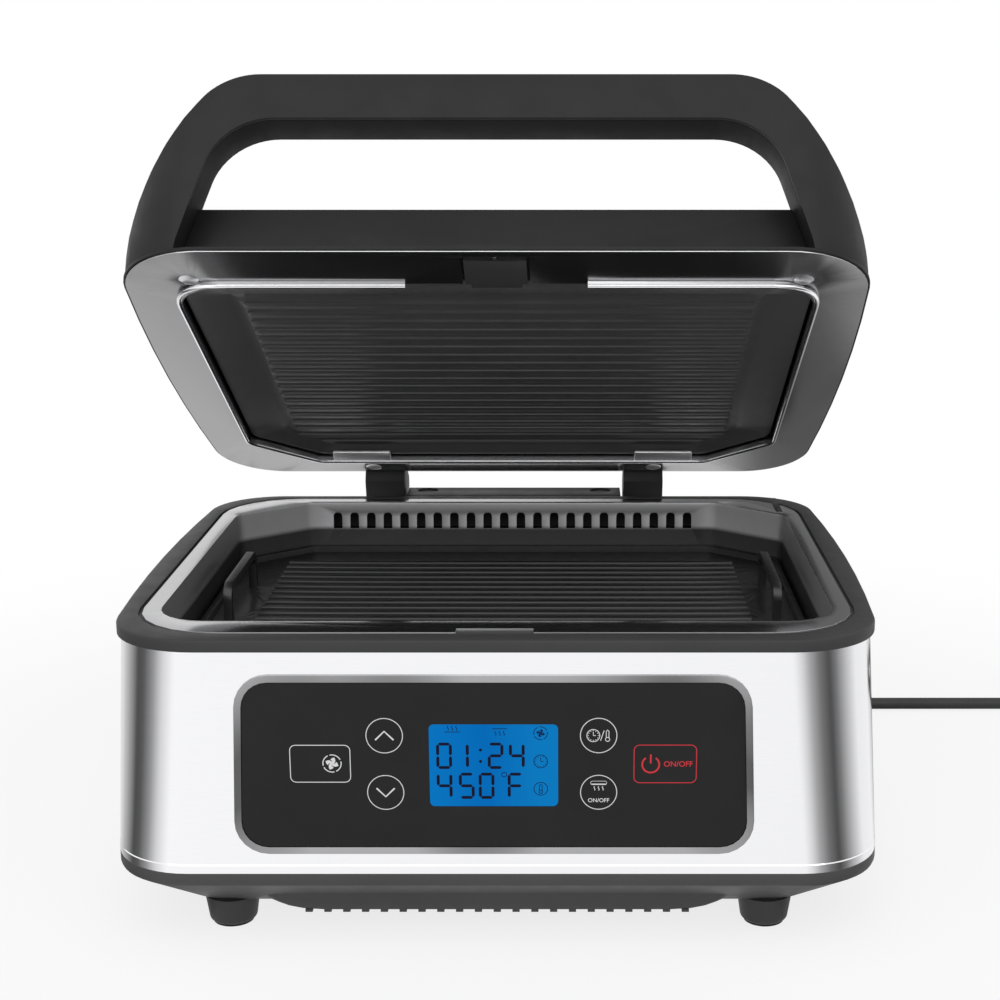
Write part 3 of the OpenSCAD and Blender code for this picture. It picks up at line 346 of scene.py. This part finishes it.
def metal(name, low, high, rough, stretch, grain=220, strength=0.12, depth=0.00003):
    """Sheet metal with a drawn grain along one axis."""
    m = Shader(name)
    m.set(Metallic=1.0)
    drawn = m.noise(grain, 4, 0.7, stretch)
    m.drive("Base Color", m.ramp(drawn, [(0.25, low), (0.75, high)]))
    m.drive("Roughness", m.ramp(drawn, [(0.2, rough - 0.03), (0.8, rough + 0.04)]))
    m.bump(drawn, strength, depth)
    return m.mat


def nonstick(name, low, high, rough, shine=0.3):
    """Sprayed nonstick coating: fine orange peel and tiny pale flecks."""
    m = Shader(name)
    m.set(Specular_IOR_Level=shine)
    m.drive("Base Color", m.flecked(m.ramp(m.noise(30, 4), [(0.3, low), (0.7, high)]), 0.16))
    m.drive("Roughness", m.ramp(m.noise(120, 4), [(0.3, rough - 0.05), (0.7, rough + 0.07)]))
    m.bump(m.noise(700, 3), 0.3, 0.00004)
    return m.mat


BARE_FROM, BARE_TO = 0.019, 0.016  # metres below the rim over which the coat gives way to metal


def pan_coating():
    """The pan: a dark coat in the bowl that gives way to bare satin metal near the rim and on its flange."""
    m = Shader("nonstick_pan")
    height = m.node("ShaderNodeSeparateXYZ")
    m.link(m.coord, height.inputs[0])
    bare = m.node("ShaderNodeMapRange")
    for socket, value in zip(bare.inputs[1:], (RIM_H * MM - BARE_FROM, RIM_H * MM - BARE_TO, 0.0, 1.0)):
        socket.default_value = value
    m.link(height.outputs["Z"], bare.inputs[0])
    drawn = m.noise(160, 3, 0.6)
    coat = m.flecked(m.ramp(m.noise(30, 4), [(0.3, grey(0.016)), (0.7, grey(0.022))]), 0.12)
    steel = m.ramp(drawn, [(0.2, grey(0.445)), (0.8, grey(0.475))])
    m.drive("Base Color", m.blend(bare.outputs[0], coat, steel))
    m.drive("Metallic", bare.outputs[0])
    facing = m.node("ShaderNodeSeparateXYZ")
    m.link(m.tree.nodes.new("ShaderNodeTexCoord").outputs["Normal"], facing.inputs[0])
    walls = m.ramp(facing.outputs["Z"], [(0.5, 0.5), (0.85, 0.19)])
    m.drive("Roughness", m.blend(bare.outputs[0], m.ramp(drawn, [(0.2, 0.34), (0.8, 0.42)]), walls))
    m.bump(m.noise(700, 3), 0.05, 0.00003)
    return m.mat


def trim_metal():
    """The lid's pressed surround: satin, with a polished edge along its outside."""
    m = Shader("satin_metal")
    m.set(Metallic=1.0)
    facing = m.node("ShaderNodeVectorMath")
    facing.operation = "DOT_PRODUCT"
    m.link(m.tree.nodes.new("ShaderNodeTexCoord").outputs["Normal"], facing.inputs[0])
    facing.inputs[1].default_value = (0, math.sin(LID_OPEN), math.cos(LID_OPEN))
    flat = m.node("ShaderNodeMapRange")
    for socket, value in zip(flat.inputs[1:], (-0.85, -0.6, 0.0, 1.0)):
        socket.default_value = value
    m.link(facing.outputs["Value"], flat.inputs[0])
    drawn = m.noise(140, 4, 0.7, (1, 12, 12))
    satin = m.ramp(drawn, [(0.25, grey(0.32)), (0.75, grey(0.37))])
    polished = m.ramp(drawn, [(0.25, grey(0.46)), (0.75, grey(0.52))])
    m.drive("Base Color", m.blend(flat.outputs[0], satin, polished))
    m.drive("Roughness", m.ramp(drawn, [(0.2, 0.19), (0.8, 0.26)]))
    m.bump(drawn, 0.06, 0.00003)
    return m.mat


SHEEN_TURN = 38.0  # radians to a metre: the painted sheen's pale and dark stretches, about 165 mm from pale to pale
SHEEN_MIDDLE = 0.002
SHEEN_DEPTH = 0.22


def frame_metal():
    """The panel's frame: satin metal with a painted sheen in its colour, pale stretches above where it is dark below,
    and paler towards its top and bottom edges.
    """
    m = Shader("frame_metal")
    m.set(Metallic=1.0)
    place = m.node("ShaderNodeSeparateXYZ")
    m.link(m.coord, place.inputs[0])
    height = m.math("SUBTRACT", place.outputs["Z"], (RIM_H - PANEL_MID) * MM)
    # painted sheen: paler towards the top and bottom edges
    ends = m.math("MINIMUM", m.math("MULTIPLY", m.math("ABSOLUTE", height), 9.0), 0.45)
    # painted sheen: pale and dark stretches along the length, swapped between the upper and lower half
    painted_sheen = m.math("COSINE", m.math("MULTIPLY", m.math("SUBTRACT", place.outputs["X"], SHEEN_MIDDLE), SHEEN_TURN))
    painted_sheen = m.math("MULTIPLY", m.math("MULTIPLY", painted_sheen, m.math("SIGN", height)), SHEEN_DEPTH)
    tone = m.math("ADD", m.math("ADD", ends, painted_sheen), m.math("MULTIPLY", m.noise(14, 1, 0.4), 0.8))
    m.drive("Base Color", m.ramp(tone, [(0.42, grey(0.12)), (0.9, grey(0.42))]))
    m.drive("Roughness", m.ramp(m.noise(120, 3), [(0.3, 0.26), (0.7, 0.34)]))
    m.bump(m.noise(700, 2), 0.08, 0.00002)
    return m.mat


def grey(v):
    return (v, v, v * 1.02)


MATERIALS = {
    "black_plastic": lambda: plastic("black_plastic", grey(0.012), grey(0.015), 0.45, 0.14),
    "dark_plastic": lambda: plastic("dark_plastic", grey(0.020), grey(0.025), 0.5, 0.16),
    "gloss_panel": lambda: plastic("gloss_panel", grey(0.013), grey(0.016), 0.16, 0.15, 400, 0.000005, 0.05),
    "frame_metal": frame_metal,
    "stainless": lambda: metal("stainless", grey(0.90), grey(0.95), 0.12, (1, 1, 60), 60, 0.03),
    "satin_metal": trim_metal,
    "zinc_steel": lambda: metal("zinc_steel", grey(0.42), grey(0.5), 0.35, (1, 1, 1), 90),
    "nonstick_pan": pan_coating,
    # painted shade: the lower plate's coating is kept darker than the upper plate's, standing in for the shade under
    # the lid
    "nonstick_plate": lambda: nonstick("nonstick_plate", grey(0.011), grey(0.016), 0.33, 0.45),
    "heater_sheath": lambda: metal("heater_sheath", (0.09, 0.085, 0.08), (0.14, 0.13, 0.12), 0.5, (1, 1, 1), 200),
    "board_green": lambda: plastic("board_green", (0.01, 0.09, 0.05), (0.012, 0.11, 0.06), 0.35),
    "pad_rubber": lambda: plastic("pad_rubber", grey(0.012), grey(0.018), 0.75, 0.2, 900, 0.0001, 0.4),
    "cord_jacket": lambda: plastic("cord_jacket", grey(0.040), grey(0.046), 0.5, 0.25, 1200),
    "fan_plastic": lambda: plastic("fan_plastic", grey(0.05), grey(0.06), 0.4),
    "prong_brass": lambda: metal("prong_brass", (0.6, 0.48, 0.24), (0.68, 0.55, 0.3), 0.25, (12, 1, 1), 200),
}
OWN = {  # nodes and pieces with a shade of their own within their slot
    "handle_front": lambda: plastic("handle_plastic", grey(0.018), grey(0.022), 0.5, 0.15),
    "handle_rear": lambda: plastic("handle_back_plastic", grey(0.0135), grey(0.0165), 0.5, 0.14),
    "top_bezel": lambda: plastic("bezel_plastic", grey(0.044), grey(0.050), 0.5, 0.16),
    "bottom_cover": lambda: plastic("cover_plastic", grey(0.062), grey(0.070), 0.5, 0.2),
    "lid_top_cover": lambda: metal("lid_steel", grey(0.55), grey(0.64), 0.24, (60, 1, 1), 60, 0.05),
    "lid_shell": lambda: plastic("lid_plastic", grey(0.009), grey(0.012), 0.45, 0.2),
    "plate_latch": lambda: plastic("latch_plastic", grey(0.040), grey(0.046), 0.5, 0.2),
    "plate_clips": lambda: metal("clip_steel", grey(0.90), grey(0.96), 0.5, (1, 1, 1), 90, 0.03),
    "lid_screws": lambda: metal("screw_steel", grey(0.84), grey(0.92), 0.3, (1, 1, 1), 90, 0.03),
    "trim_bead": lambda: metal("bead_steel", grey(0.95), grey(0.98), 0.12, (1, 1, 1), 30, 0.01),
    "feet": lambda: plastic("foot_plastic", grey(0.048), grey(0.055), 0.5, 0.2),
    "hinge_arm_left": lambda: plastic("arm_plastic", grey(0.026), grey(0.030), 0.5, 0.18),
    "hinge_arm_right": lambda: plastic("arm_plastic", grey(0.026), grey(0.030), 0.5, 0.18),
    "hinge_housing": lambda: plastic("housing_plastic", grey(0.020), grey(0.025), 0.5, 0.18),
    # painted light: a lighter copy of the plate coating, standing in for the light and sheen the upper plate catches
    "upper_grill_plate": lambda: nonstick("upper_plate_coating_lit_copy", grey(0.066), grey(0.078), 0.33, 0.6),
}


DISPLAY_HALF = 0.034


def display_material():
    """Backlit display: a deep blue, a little paler towards both ends."""
    m = Shader("display")
    sep = m.node("ShaderNodeSeparateXYZ")
    m.link(m.coord, sep.inputs[0])
    span = m.node("ShaderNodeMapRange")
    span.inputs["From Min"].default_value = -DISPLAY_HALF
    span.inputs["From Max"].default_value = DISPLAY_HALF
    m.link(sep.outputs["X"], span.inputs["Value"])
    add = m.node("ShaderNodeMath")
    add.operation = "MULTIPLY_ADD"
    add.inputs[1].default_value = 0.3
    m.link(m.noise(30, 2), add.inputs[0])
    m.link(span.outputs["Result"], add.inputs[2])
    glow = m.ramp(add.outputs[0], [(0.1, (0.002, 0.17, 0.50)), (0.6, (0.001, 0.135, 0.44)), (1.0, (0.003, 0.18, 0.48))])
    m.drive("Base Color", m.ramp(add.outputs[0], [(0.1, (0.0, 0.006, 0.03)), (1.0, (0.0, 0.008, 0.035))]))
    m.drive("Emission Color", glow)
    m.set(Roughness=0.4, Specular_IOR_Level=0.02)
    m.bsdf.inputs["Emission Strength"].default_value = 1.0
    return m.mat


MATERIALS["display"] = display_material
made = {}


def material(slot, node=None):
    key = node if node in OWN else slot
    if key not in made:
        made[key] = (OWN.get(key) or MATERIALS[key])()
    return made[key]


def print_material(name, colour, glow=0.0):
    """Printed or lit marking."""
    m = Shader(name)
    m.drive("Base Color", m.ramp(m.noise(400, 2), [(0.3, tuple(c * 0.94 for c in colour)), (0.7, colour)]))
    m.set(Roughness=0.4, Specular_IOR_Level=0.1)
    if glow:
        m.bsdf.inputs["Emission Color"].default_value = (*colour, 1)
        m.bsdf.inputs["Emission Strength"].default_value = glow
    return m.mat


# ---------- finish of the frame's own pieces ----------
EDGE = {  # width of the rounded edge, in millimetres
    "handle_front": 1.6, "handle_rear": 1.6, "lid_shell": 1.3, "hinge_housing": 1.0, "plate_clips": 0.9,
    "hinge_arm_left": 1.0, "hinge_arm_right": 1.0, "top_bezel": 0.35, "bottom_cover": 0.6,
    "plate_latch": 0.8, "lower_grill_plate": 0.7, "upper_grill_plate": 0.5, "lid_trim": 0.35,
    "cooking_pot": 0.5, "panel_frame": 0.5, "touch_panel": 0.2, "lid_top_cover": 0.5,
    "plug": 1.5,
}


EDGE_OTHER = 0.25
FOLD = 16  # degrees: sharper folds of the steel band stay crisp
SHARP = 35  # degrees: sharper edges are rounded


def finish_node(name):
    """Give a node its material and smooth, slightly rounded edges."""
    ob = nodes[name]
    slot = slot_of[name]
    ob.data.materials.clear()
    ob.data.materials.append(material(slot, name))
    for p in ob.data.polygons:
        p.use_smooth = True
    weld = ob.modifiers.new("weld", "WELD")
    weld.merge_threshold = 0.000002
    if name == "body_band":
        split = ob.modifiers.new("folds", "EDGE_SPLIT")
        split.split_angle = math.radians(FOLD)
        return
    bevel = ob.modifiers.new("edges", "BEVEL")
    bevel.width = EDGE.get(name, EDGE_OTHER) * MM
    bevel.segments = 3
    bevel.limit_method = "ANGLE"
    bevel.angle_limit = math.radians(SHARP)
    bevel.use_clamp_overlap = True
    bevel.harden_normals = True
    bevel.miter_outer = "MITER_ARC"


slot_of = {row["node"]: row["material_slot"] for row in frame["record"]["subparts"]}


# ---------- the mains cord ----------
ROUTE = [
    (122, 382, 62), (122, 392, 61), (123, 401, 58), (126, 409, 52), (131, 415, 44), (138, 418, 35),
    (147, 419, 26), (158, 418, 18), (171, 415, 11), (186, 411, 6.5), (203, 406, 4.6), (222, 402, 4.3),
    (243, 400, 4.3), (265, 399, 4.3), (290, 399, 4.3), (316, 399, 4.3), (342, 399, 4.3), (368, 399, 4.3),
    (392, 399, 4.3), (416, 399, 4.3),
]
TAIL = [(452, 399, 13), (458, 398.5, 13), (464, 398, 13), (470, 397.5, 13), (476, 397, 13)]
CORD_D = 8.5
COIL = (442, 446)
COIL_R = 47


def coil_points():
    """Two turns on each other, the second reached by a long ramp."""
    turns, steps = 2, 20
    rise = CORD_D * 1.02
    out = []
    for i in range(1, turns * steps):
        t = i / steps
        up = min(max((t - 0.8) / 0.4, 0), 1)
        z = 4.3 + rise * (up * up * (3 - 2 * up))
        a = math.radians(-90 + 360 * t)
        out.append((COIL[0] + COIL_R * math.cos(a), COIL[1] + COIL_R * math.sin(a), z))
    return out


def add_cord():
    """One smooth cord from the strain relief over the worktop and round its coil to the plug."""
    points = [at(*p) for p in ROUTE + [(COIL[0], COIL[1] - COIL_R, 4.3)] + coil_points()
              + [(COIL[0] + 2, COIL[1] - COIL_R, 13)] + TAIL]
    curve = bpy.data.curves.new("mains_cord", "CURVE")
    curve.dimensions = "3D"
    curve.bevel_depth = CORD_D / 2 * MM
    curve.bevel_resolution = 6
    curve.resolution_u = 6
    curve.use_fill_caps = True
    line = curve.splines.new("BEZIER")
    line.bezier_points.add(len(points) - 1)
    for i, p in enumerate(points):
        b = line.bezier_points[i]
        before = points[max(i - 1, 0)]
        after = points[min(i + 1, len(points) - 1)]
        t = (after - before).normalized()
        b.co = p
        b.handle_left = p - t * (p - before).length / 3
        b.handle_right = p + t * (after - p).length / 3
    ob = bpy.data.objects.new("mains_cord", curve)
    bpy.context.scene.collection.objects.link(ob)
    curve.materials.append(material("cord_jacket"))
    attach(ob, "root")
    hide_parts("power_cord", "cord_coil")


# ---------- rolled edge of the lid's surround ----------
LIP_X, LIP_FRONT, LIP_REAR = 178.5, 38.5, 322
LIP_CHAMFER = (134.4, 284.3)
LIP_GAP = 50
BEAD_R = 1.6
BEAD_Z = -1.5


def rounded_path(points, radii, steps=8):
    """An open line through the points with each inner corner rounded."""
    out = [points[0]]
    for i, r in enumerate(radii, 1):
        p = Vector(points[i])
        a = (Vector(points[i - 1]) - p).normalized()
        b = (Vector(points[i + 1]) - p).normalized()
        half = a.angle(b) / 2
        start, end = p + a * r / math.tan(half), p + b * r / math.tan(half)
        for k in range(steps + 1):
            t = k / steps
            out.append(tuple((1 - t) ** 2 * start + 2 * t * (1 - t) * p + t * t * end))
    return out + [points[-1]]


def add_trim_bead():
    """The bright rolled lip round the upper plate, open at the latch."""
    half = [(LIP_GAP, LIP_FRONT), (LIP_X, LIP_FRONT), (LIP_X, LIP_CHAMFER[1]), (LIP_CHAMFER[0], LIP_REAR)]
    corners = half + [(-x, y) for x, y in reversed(half)]
    path = rounded_path(corners, (26.5, 12, 12, 12, 12, 26.5))
    curve = bpy.data.curves.new("trim_bead", "CURVE")
    curve.dimensions = "3D"
    curve.bevel_depth = BEAD_R * MM
    curve.bevel_resolution = 4
    curve.use_fill_caps = True
    line = curve.splines.new("POLY")
    line.points.add(len(path) - 1)
    for point, (x, y) in zip(line.points, path):
        point.co = (*on_lid(x, y, BEAD_Z), 1)
    curve.materials.append(material("satin_metal", "trim_bead"))
    ob = bpy.data.objects.new("trim_bead", curve)
    bpy.context.scene.collection.objects.link(ob)
    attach(ob, "lid")


# ---------- control panel print ----------
PANEL_Y = -0.5
HAIR, FINE, LINE, BOLD, ARROW = 0.25, 0.42, 0.45, 0.6, 0.9  # widths of printed lines


def flat_lines(name, paths, width, mat, y, body="root"):
    """Line art on the panel: each path is (points, closed) in x and height below the rim."""
    curve = bpy.data.curves.new(name, "CURVE")
    curve.dimensions = "3D"
    curve.bevel_depth = width / 2 * MM
    curve.bevel_resolution = 2
    curve.use_fill_caps = True
    for points, closed in paths:
        line = curve.splines.new("POLY")
        line.points.add(len(points) - 1)
        for p, (x, z) in zip(line.points, points):
            p.co = (x * MM, 0, z * MM, 1)
        line.use_cyclic_u = closed
    ob = bpy.data.objects.new(name, curve)
    bpy.context.scene.collection.objects.link(ob)
    bpy.context.view_layer.update()
    mesh = bpy.data.meshes.new_from_object(ob)
    bpy.data.objects.remove(ob)
    origin = at(0, y, RIM_H)
    for v in mesh.vertices:
        v.co = (v.co.x + origin.x, v.co.y * 0.15 + origin.y, v.co.z + origin.z)
    return add_mesh(name, mesh, mat, body)


def add_mesh(name, mesh, mat, body):
    ob = bpy.data.objects.new(name, mesh)
    bpy.context.scene.collection.objects.link(ob)
    mesh.materials.clear()
    mesh.materials.append(mat)
    for p in mesh.polygons:
        p.use_smooth = False
    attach(ob, body)
    return ob


def circle(cx, cz, r, n=40, a0=0, a1=360):
    full = abs(a1 - a0) >= 360
    count = n if full else n + 1
    return [(cx + r * math.cos(math.radians(a0 + (a1 - a0) * i / n)),
             cz + r * math.sin(math.radians(a0 + (a1 - a0) * i / n))) for i in range(count)]


def round_box(x0, x1, z0, z1, r, n=6):
    corners = [(x1 - r, z1 - r, 0), (x0 + r, z1 - r, 90), (x0 + r, z0 + r, 180), (x1 - r, z0 + r, 270)]
    out = []
    for cx, cz, a in corners:
        out += circle(cx, cz, r, n, a, a + 90)
    return out


def wave(x, z, h):
    """Small rising heat wave."""
    return [(x + 0.35 * h / 3 * math.sin(t / 8 * 2 * math.pi), z + h * t / 8) for t in range(9)]


def fan_ring(cx, cz, r):
    return [(circle(cx, cz, r, 36, a + 6, a + 84), False) for a in (20, 110, 200, 290)]


def fan_blades(cx, cz, r):
    """Four curved blades, each drawn by a few lines that spread from the hub."""
    paths = []
    for k in range(4):
        for spread in (0, 14, 28):
            turn = [math.radians(90 * k + spread + 75 * t / 6) for t in range(7)]
            reach = [r * (0.7 - 0.006 * spread) * t / 6 for t in range(7)]
            paths.append(([(cx + d * math.cos(a), cz + d * math.sin(a)) for a, d in zip(turn, reach)], False))
    return paths


def clock_icon(cx, cz, r):
    """Ring, twelve short ticks and two hands."""
    ticks = [circle(cx, cz, k, 1, a, a + 1)[0] for a in range(0, 360, 30) for k in (r * 0.72, r * 0.86)]
    marks = [(ticks[i:i + 2], False) for i in range(0, len(ticks), 2)]
    return [(circle(cx, cz, r, 32), True), ([(cx, cz + r * 0.58), (cx, cz), (cx + r * 0.4, cz)], False)] + marks


def thermometer_icon(cx, cz, h):
    tube = [(cx - 0.7, cz - h * 0.2), (cx - 0.7, cz + h * 0.42), (cx, cz + h * 0.55), (cx + 0.7, cz + h * 0.42),
            (cx + 0.7, cz - h * 0.2)]
    return [(tube, False), (circle(cx, cz - h * 0.38, h * 0.2, 16), True)]


# Keys: middle, or the four sides, in x and height below the rim
KEY_R = 9.6
UP = (-57.3, -52.2)
DOWN = (-57.3, -84)
MODE = (55.3, -52.1)
HEAT = (55.4, -83.9)
FAN_KEY = (-107.3, -75.6, -78.2, -57.5)
FAN_MARK = (-85.2, -67.7)
FAN_R = 4.8
POWER_KEY = (74, 106.9, -78.5, -57.4)
POWER_MARK = (82.8, -68.3)
POWER_WORDS = (97.3, -68.1)
CORNER_R = 3


def add_keys():
    """Outlines, arrows, icons and switch lettering of the six keys."""
    white = print_material("print_white", (0.62, 0.62, 0.62), 0.15)
    rings = [(circle(*c, KEY_R), True) for c in (UP, DOWN, MODE, HEAT)]
    rings.append((round_box(*FAN_KEY, CORNER_R), True))
    flat_lines("key_outlines", rings, LINE, white, PANEL_Y)
    chevrons = [([(UP[0] - 4.8, UP[1] - 2.4), (UP[0], UP[1] + 2.4), (UP[0] + 4.8, UP[1] - 2.4)], False),
                ([(DOWN[0] - 4.8, DOWN[1] + 2.4), (DOWN[0], DOWN[1] - 2.4), (DOWN[0] + 4.8, DOWN[1] + 2.4)], False)]
    flat_lines("key_arrows", chevrons, ARROW, white, PANEL_Y)
    fine = clock_icon(MODE[0] - 2.8, MODE[1], 3.4) + thermometer_icon(MODE[0] + 4.7, MODE[1], 5.6)
    fine += [([(MODE[0] + 1.0, MODE[1] - 2.8), (MODE[0] + 2.9, MODE[1] + 2.8)], False)]
    fine += [(wave(HEAT[0] + dx, HEAT[1] + 1.1, 2.3), False) for dx in (-2.2, 0, 2.2)]
    flat_lines("key_icons", fine, FINE, white, PANEL_Y)
    hood = [(round_box(HEAT[0] - 4.2, HEAT[0] + 4.2, HEAT[1] + 4.3, HEAT[1] + 6.3, 0.8), True)]
    flat_lines("key_hood", hood, HAIR, white, PANEL_Y)
    bar = [([(HEAT[0] - 3.8, HEAT[1] + 4.6), (HEAT[0] + 3.8, HEAT[1] + 4.6)], False)]
    flat_lines("key_bar", bar, BOLD, white, PANEL_Y)
    flat_lines("key_fan_ring", fan_ring(*FAN_MARK, FAN_R), 0.55, white, PANEL_Y)
    flat_lines("key_fan_blades", fan_blades(*FAN_MARK, FAN_R), 0.75, white, PANEL_Y)
    red = print_material("print_red", (0.50, 0.032, 0.042), 0.28)
    power = [(round_box(*POWER_KEY, CORNER_R), True)]
    flat_lines("power_outline", power, LINE, red, PANEL_Y)
    x, z = POWER_MARK
    mark = [(circle(x, z, 4.5, 30, 125, 415), False), ([(x, -62.6), (x, -67.6)], False)]
    flat_lines("power_mark", mark, ARROW, red, PANEL_Y)
    words("power_words", "ON/OFF", *POWER_WORDS, 3.1, red)
    words("heat_words", "ON/OFF", HEAT[0], HEAT[1] - 4.6, 2.3, white)


def words(name, text, x, z, height, mat):
    """Plain switch lettering on the panel."""
    font = bpy.data.curves.new(name, "FONT")
    font.body = text
    font.align_x = "CENTER"
    font.align_y = "CENTER"
    font.size = height * 1.36 * MM
    font.extrude = 0.04 * MM
    font.offset = 0.03 * MM
    ob = bpy.data.objects.new(name, font)
    bpy.context.scene.collection.objects.link(ob)
    bpy.context.view_layer.update()
    mesh = bpy.data.meshes.new_from_object(ob)
    bpy.data.objects.remove(ob)
    origin = at(x, PANEL_Y, RIM_H + z)
    for v in mesh.vertices:
        v.co = (v.co.x + origin.x, origin.y - v.co.z, v.co.y + origin.z)
    return add_mesh(name, mesh, mat, "root")


SEGMENTS = {"0": "abcdef", "1": "bc", "2": "abged", "4": "fgbc", "5": "afgcd", "F": "aefg"}
CELL_W, CELL_H, BAR = 8.3, 14.7, 1.6
GAP = 0.18  # between the bars of a figure
UPPER, LOWER = -70.8, -87.65  # feet of the two rows of figures
FIGURES = [(-30.2, "0", UPPER), (-21.3, "1", UPPER), (-3.1, "2", UPPER), (8.1, "4", UPPER),
           (-30.2, "4", LOWER), (-18.5, "5", LOWER), (-8.0, "0", LOWER), (7.3, "F", LOWER)]
SIDE_X, SIDE_R = 24.8, 3.6  # icons down the display's right side


def segment(letter, x, z):
    """One bar of a seven-segment figure whose lower left corner is (x, z)."""
    h, g = BAR / 2, GAP
    top, mid, low = z + CELL_H - h, z + CELL_H / 2, z + h
    left, right = x + h, x + CELL_W - h
    flat = {"a": top, "g": mid, "d": low}
    if letter in flat:
        zc = flat[letter]
        a, b = left + g, right - g
        return [(a, zc), (a + h, zc - h), (b - h, zc - h), (b, zc), (b - h, zc + h), (a + h, zc + h)]
    xc = right if letter in "bc" else left
    a, b = (mid + g, top - g) if letter in "bf" else (low + g, mid - g)
    return [(xc, a), (xc + h, a + h), (xc + h, b - h), (xc, b), (xc - h, b - h), (xc - h, a + h)]


def filled(name, shapes, mat, y, depth=0.08):
    """Flat polygons standing a little proud of a panel."""
    bm = bmesh.new()
    for shape in shapes:
        verts = [bm.verts.new(at(x, y, RIM_H + z)) for x, z in shape]
        bm.faces.new(verts)
    geo = bmesh.ops.extrude_face_region(bm, geom=list(bm.faces))
    moved = [e for e in geo["geom"] if isinstance(e, bmesh.types.BMVert)]
    bmesh.ops.translate(bm, vec=(0, -depth * MM, 0), verts=moved)
    bmesh.ops.recalc_face_normals(bm, faces=bm.faces)
    mesh = bpy.data.meshes.new(name)
    bm.to_mesh(mesh)
    bm.free()
    return add_mesh(name, mesh, mat, "root")


LCD_Y = -0.3


def add_display():
    """Figures and icons of the display."""
    ink = print_material("display_ink", (0.003, 0.003, 0.02))
    shapes = []
    for x, figure, z in FIGURES:
        shapes += [segment(s, x, z) for s in SEGMENTS[figure]]
    shapes += [circle(-6.9, z, 0.85, 12) for z in (-60.2, -66.6)]
    filled("display_figures", shapes, ink, LCD_Y)
    faint = print_material("display_faint", (0.001, 0.010, 0.06))
    lines = fan_ring(SIDE_X, -50.9, SIDE_R) + fan_blades(SIDE_X, -50.9, 3.3) + clock_icon(SIDE_X, -66.6, SIDE_R)
    lines += [(circle(SIDE_X, -82, SIDE_R, 32), True)] + thermometer_icon(SIDE_X, -82, 4.6)
    lines += [([(-25.6, -50.2), (-17.6, -50.2)], False)]
    lines += [(wave(-21.6 + dx, -49.4, 2.6), False) for dx in (-2.2, 0, 2.2)]
    lines += [([(-0.6, -48.4), (7.2, -48.4)], False)]
    lines += [(wave(3.3 + dx, -52.2, 2.6), False) for dx in (-2.2, 0, 2.2)]
    lines += [(circle(5.5, -74, 1.3, 16), True)]
    flat_lines("display_icons", lines, FINE, faint, LCD_Y)


# ---------- build ----------
bpy.context.scene.view_settings.view_transform = "Standard"
add_camera()
add_world()
add_floor()
area_light("key", KEY_PLACE, KEY_TARGET, KEY_SIZE, KEY_POWER)
for n in nodes:
    finish_node(n)
add_cord()
add_trim_bead()
add_keys()
add_display()
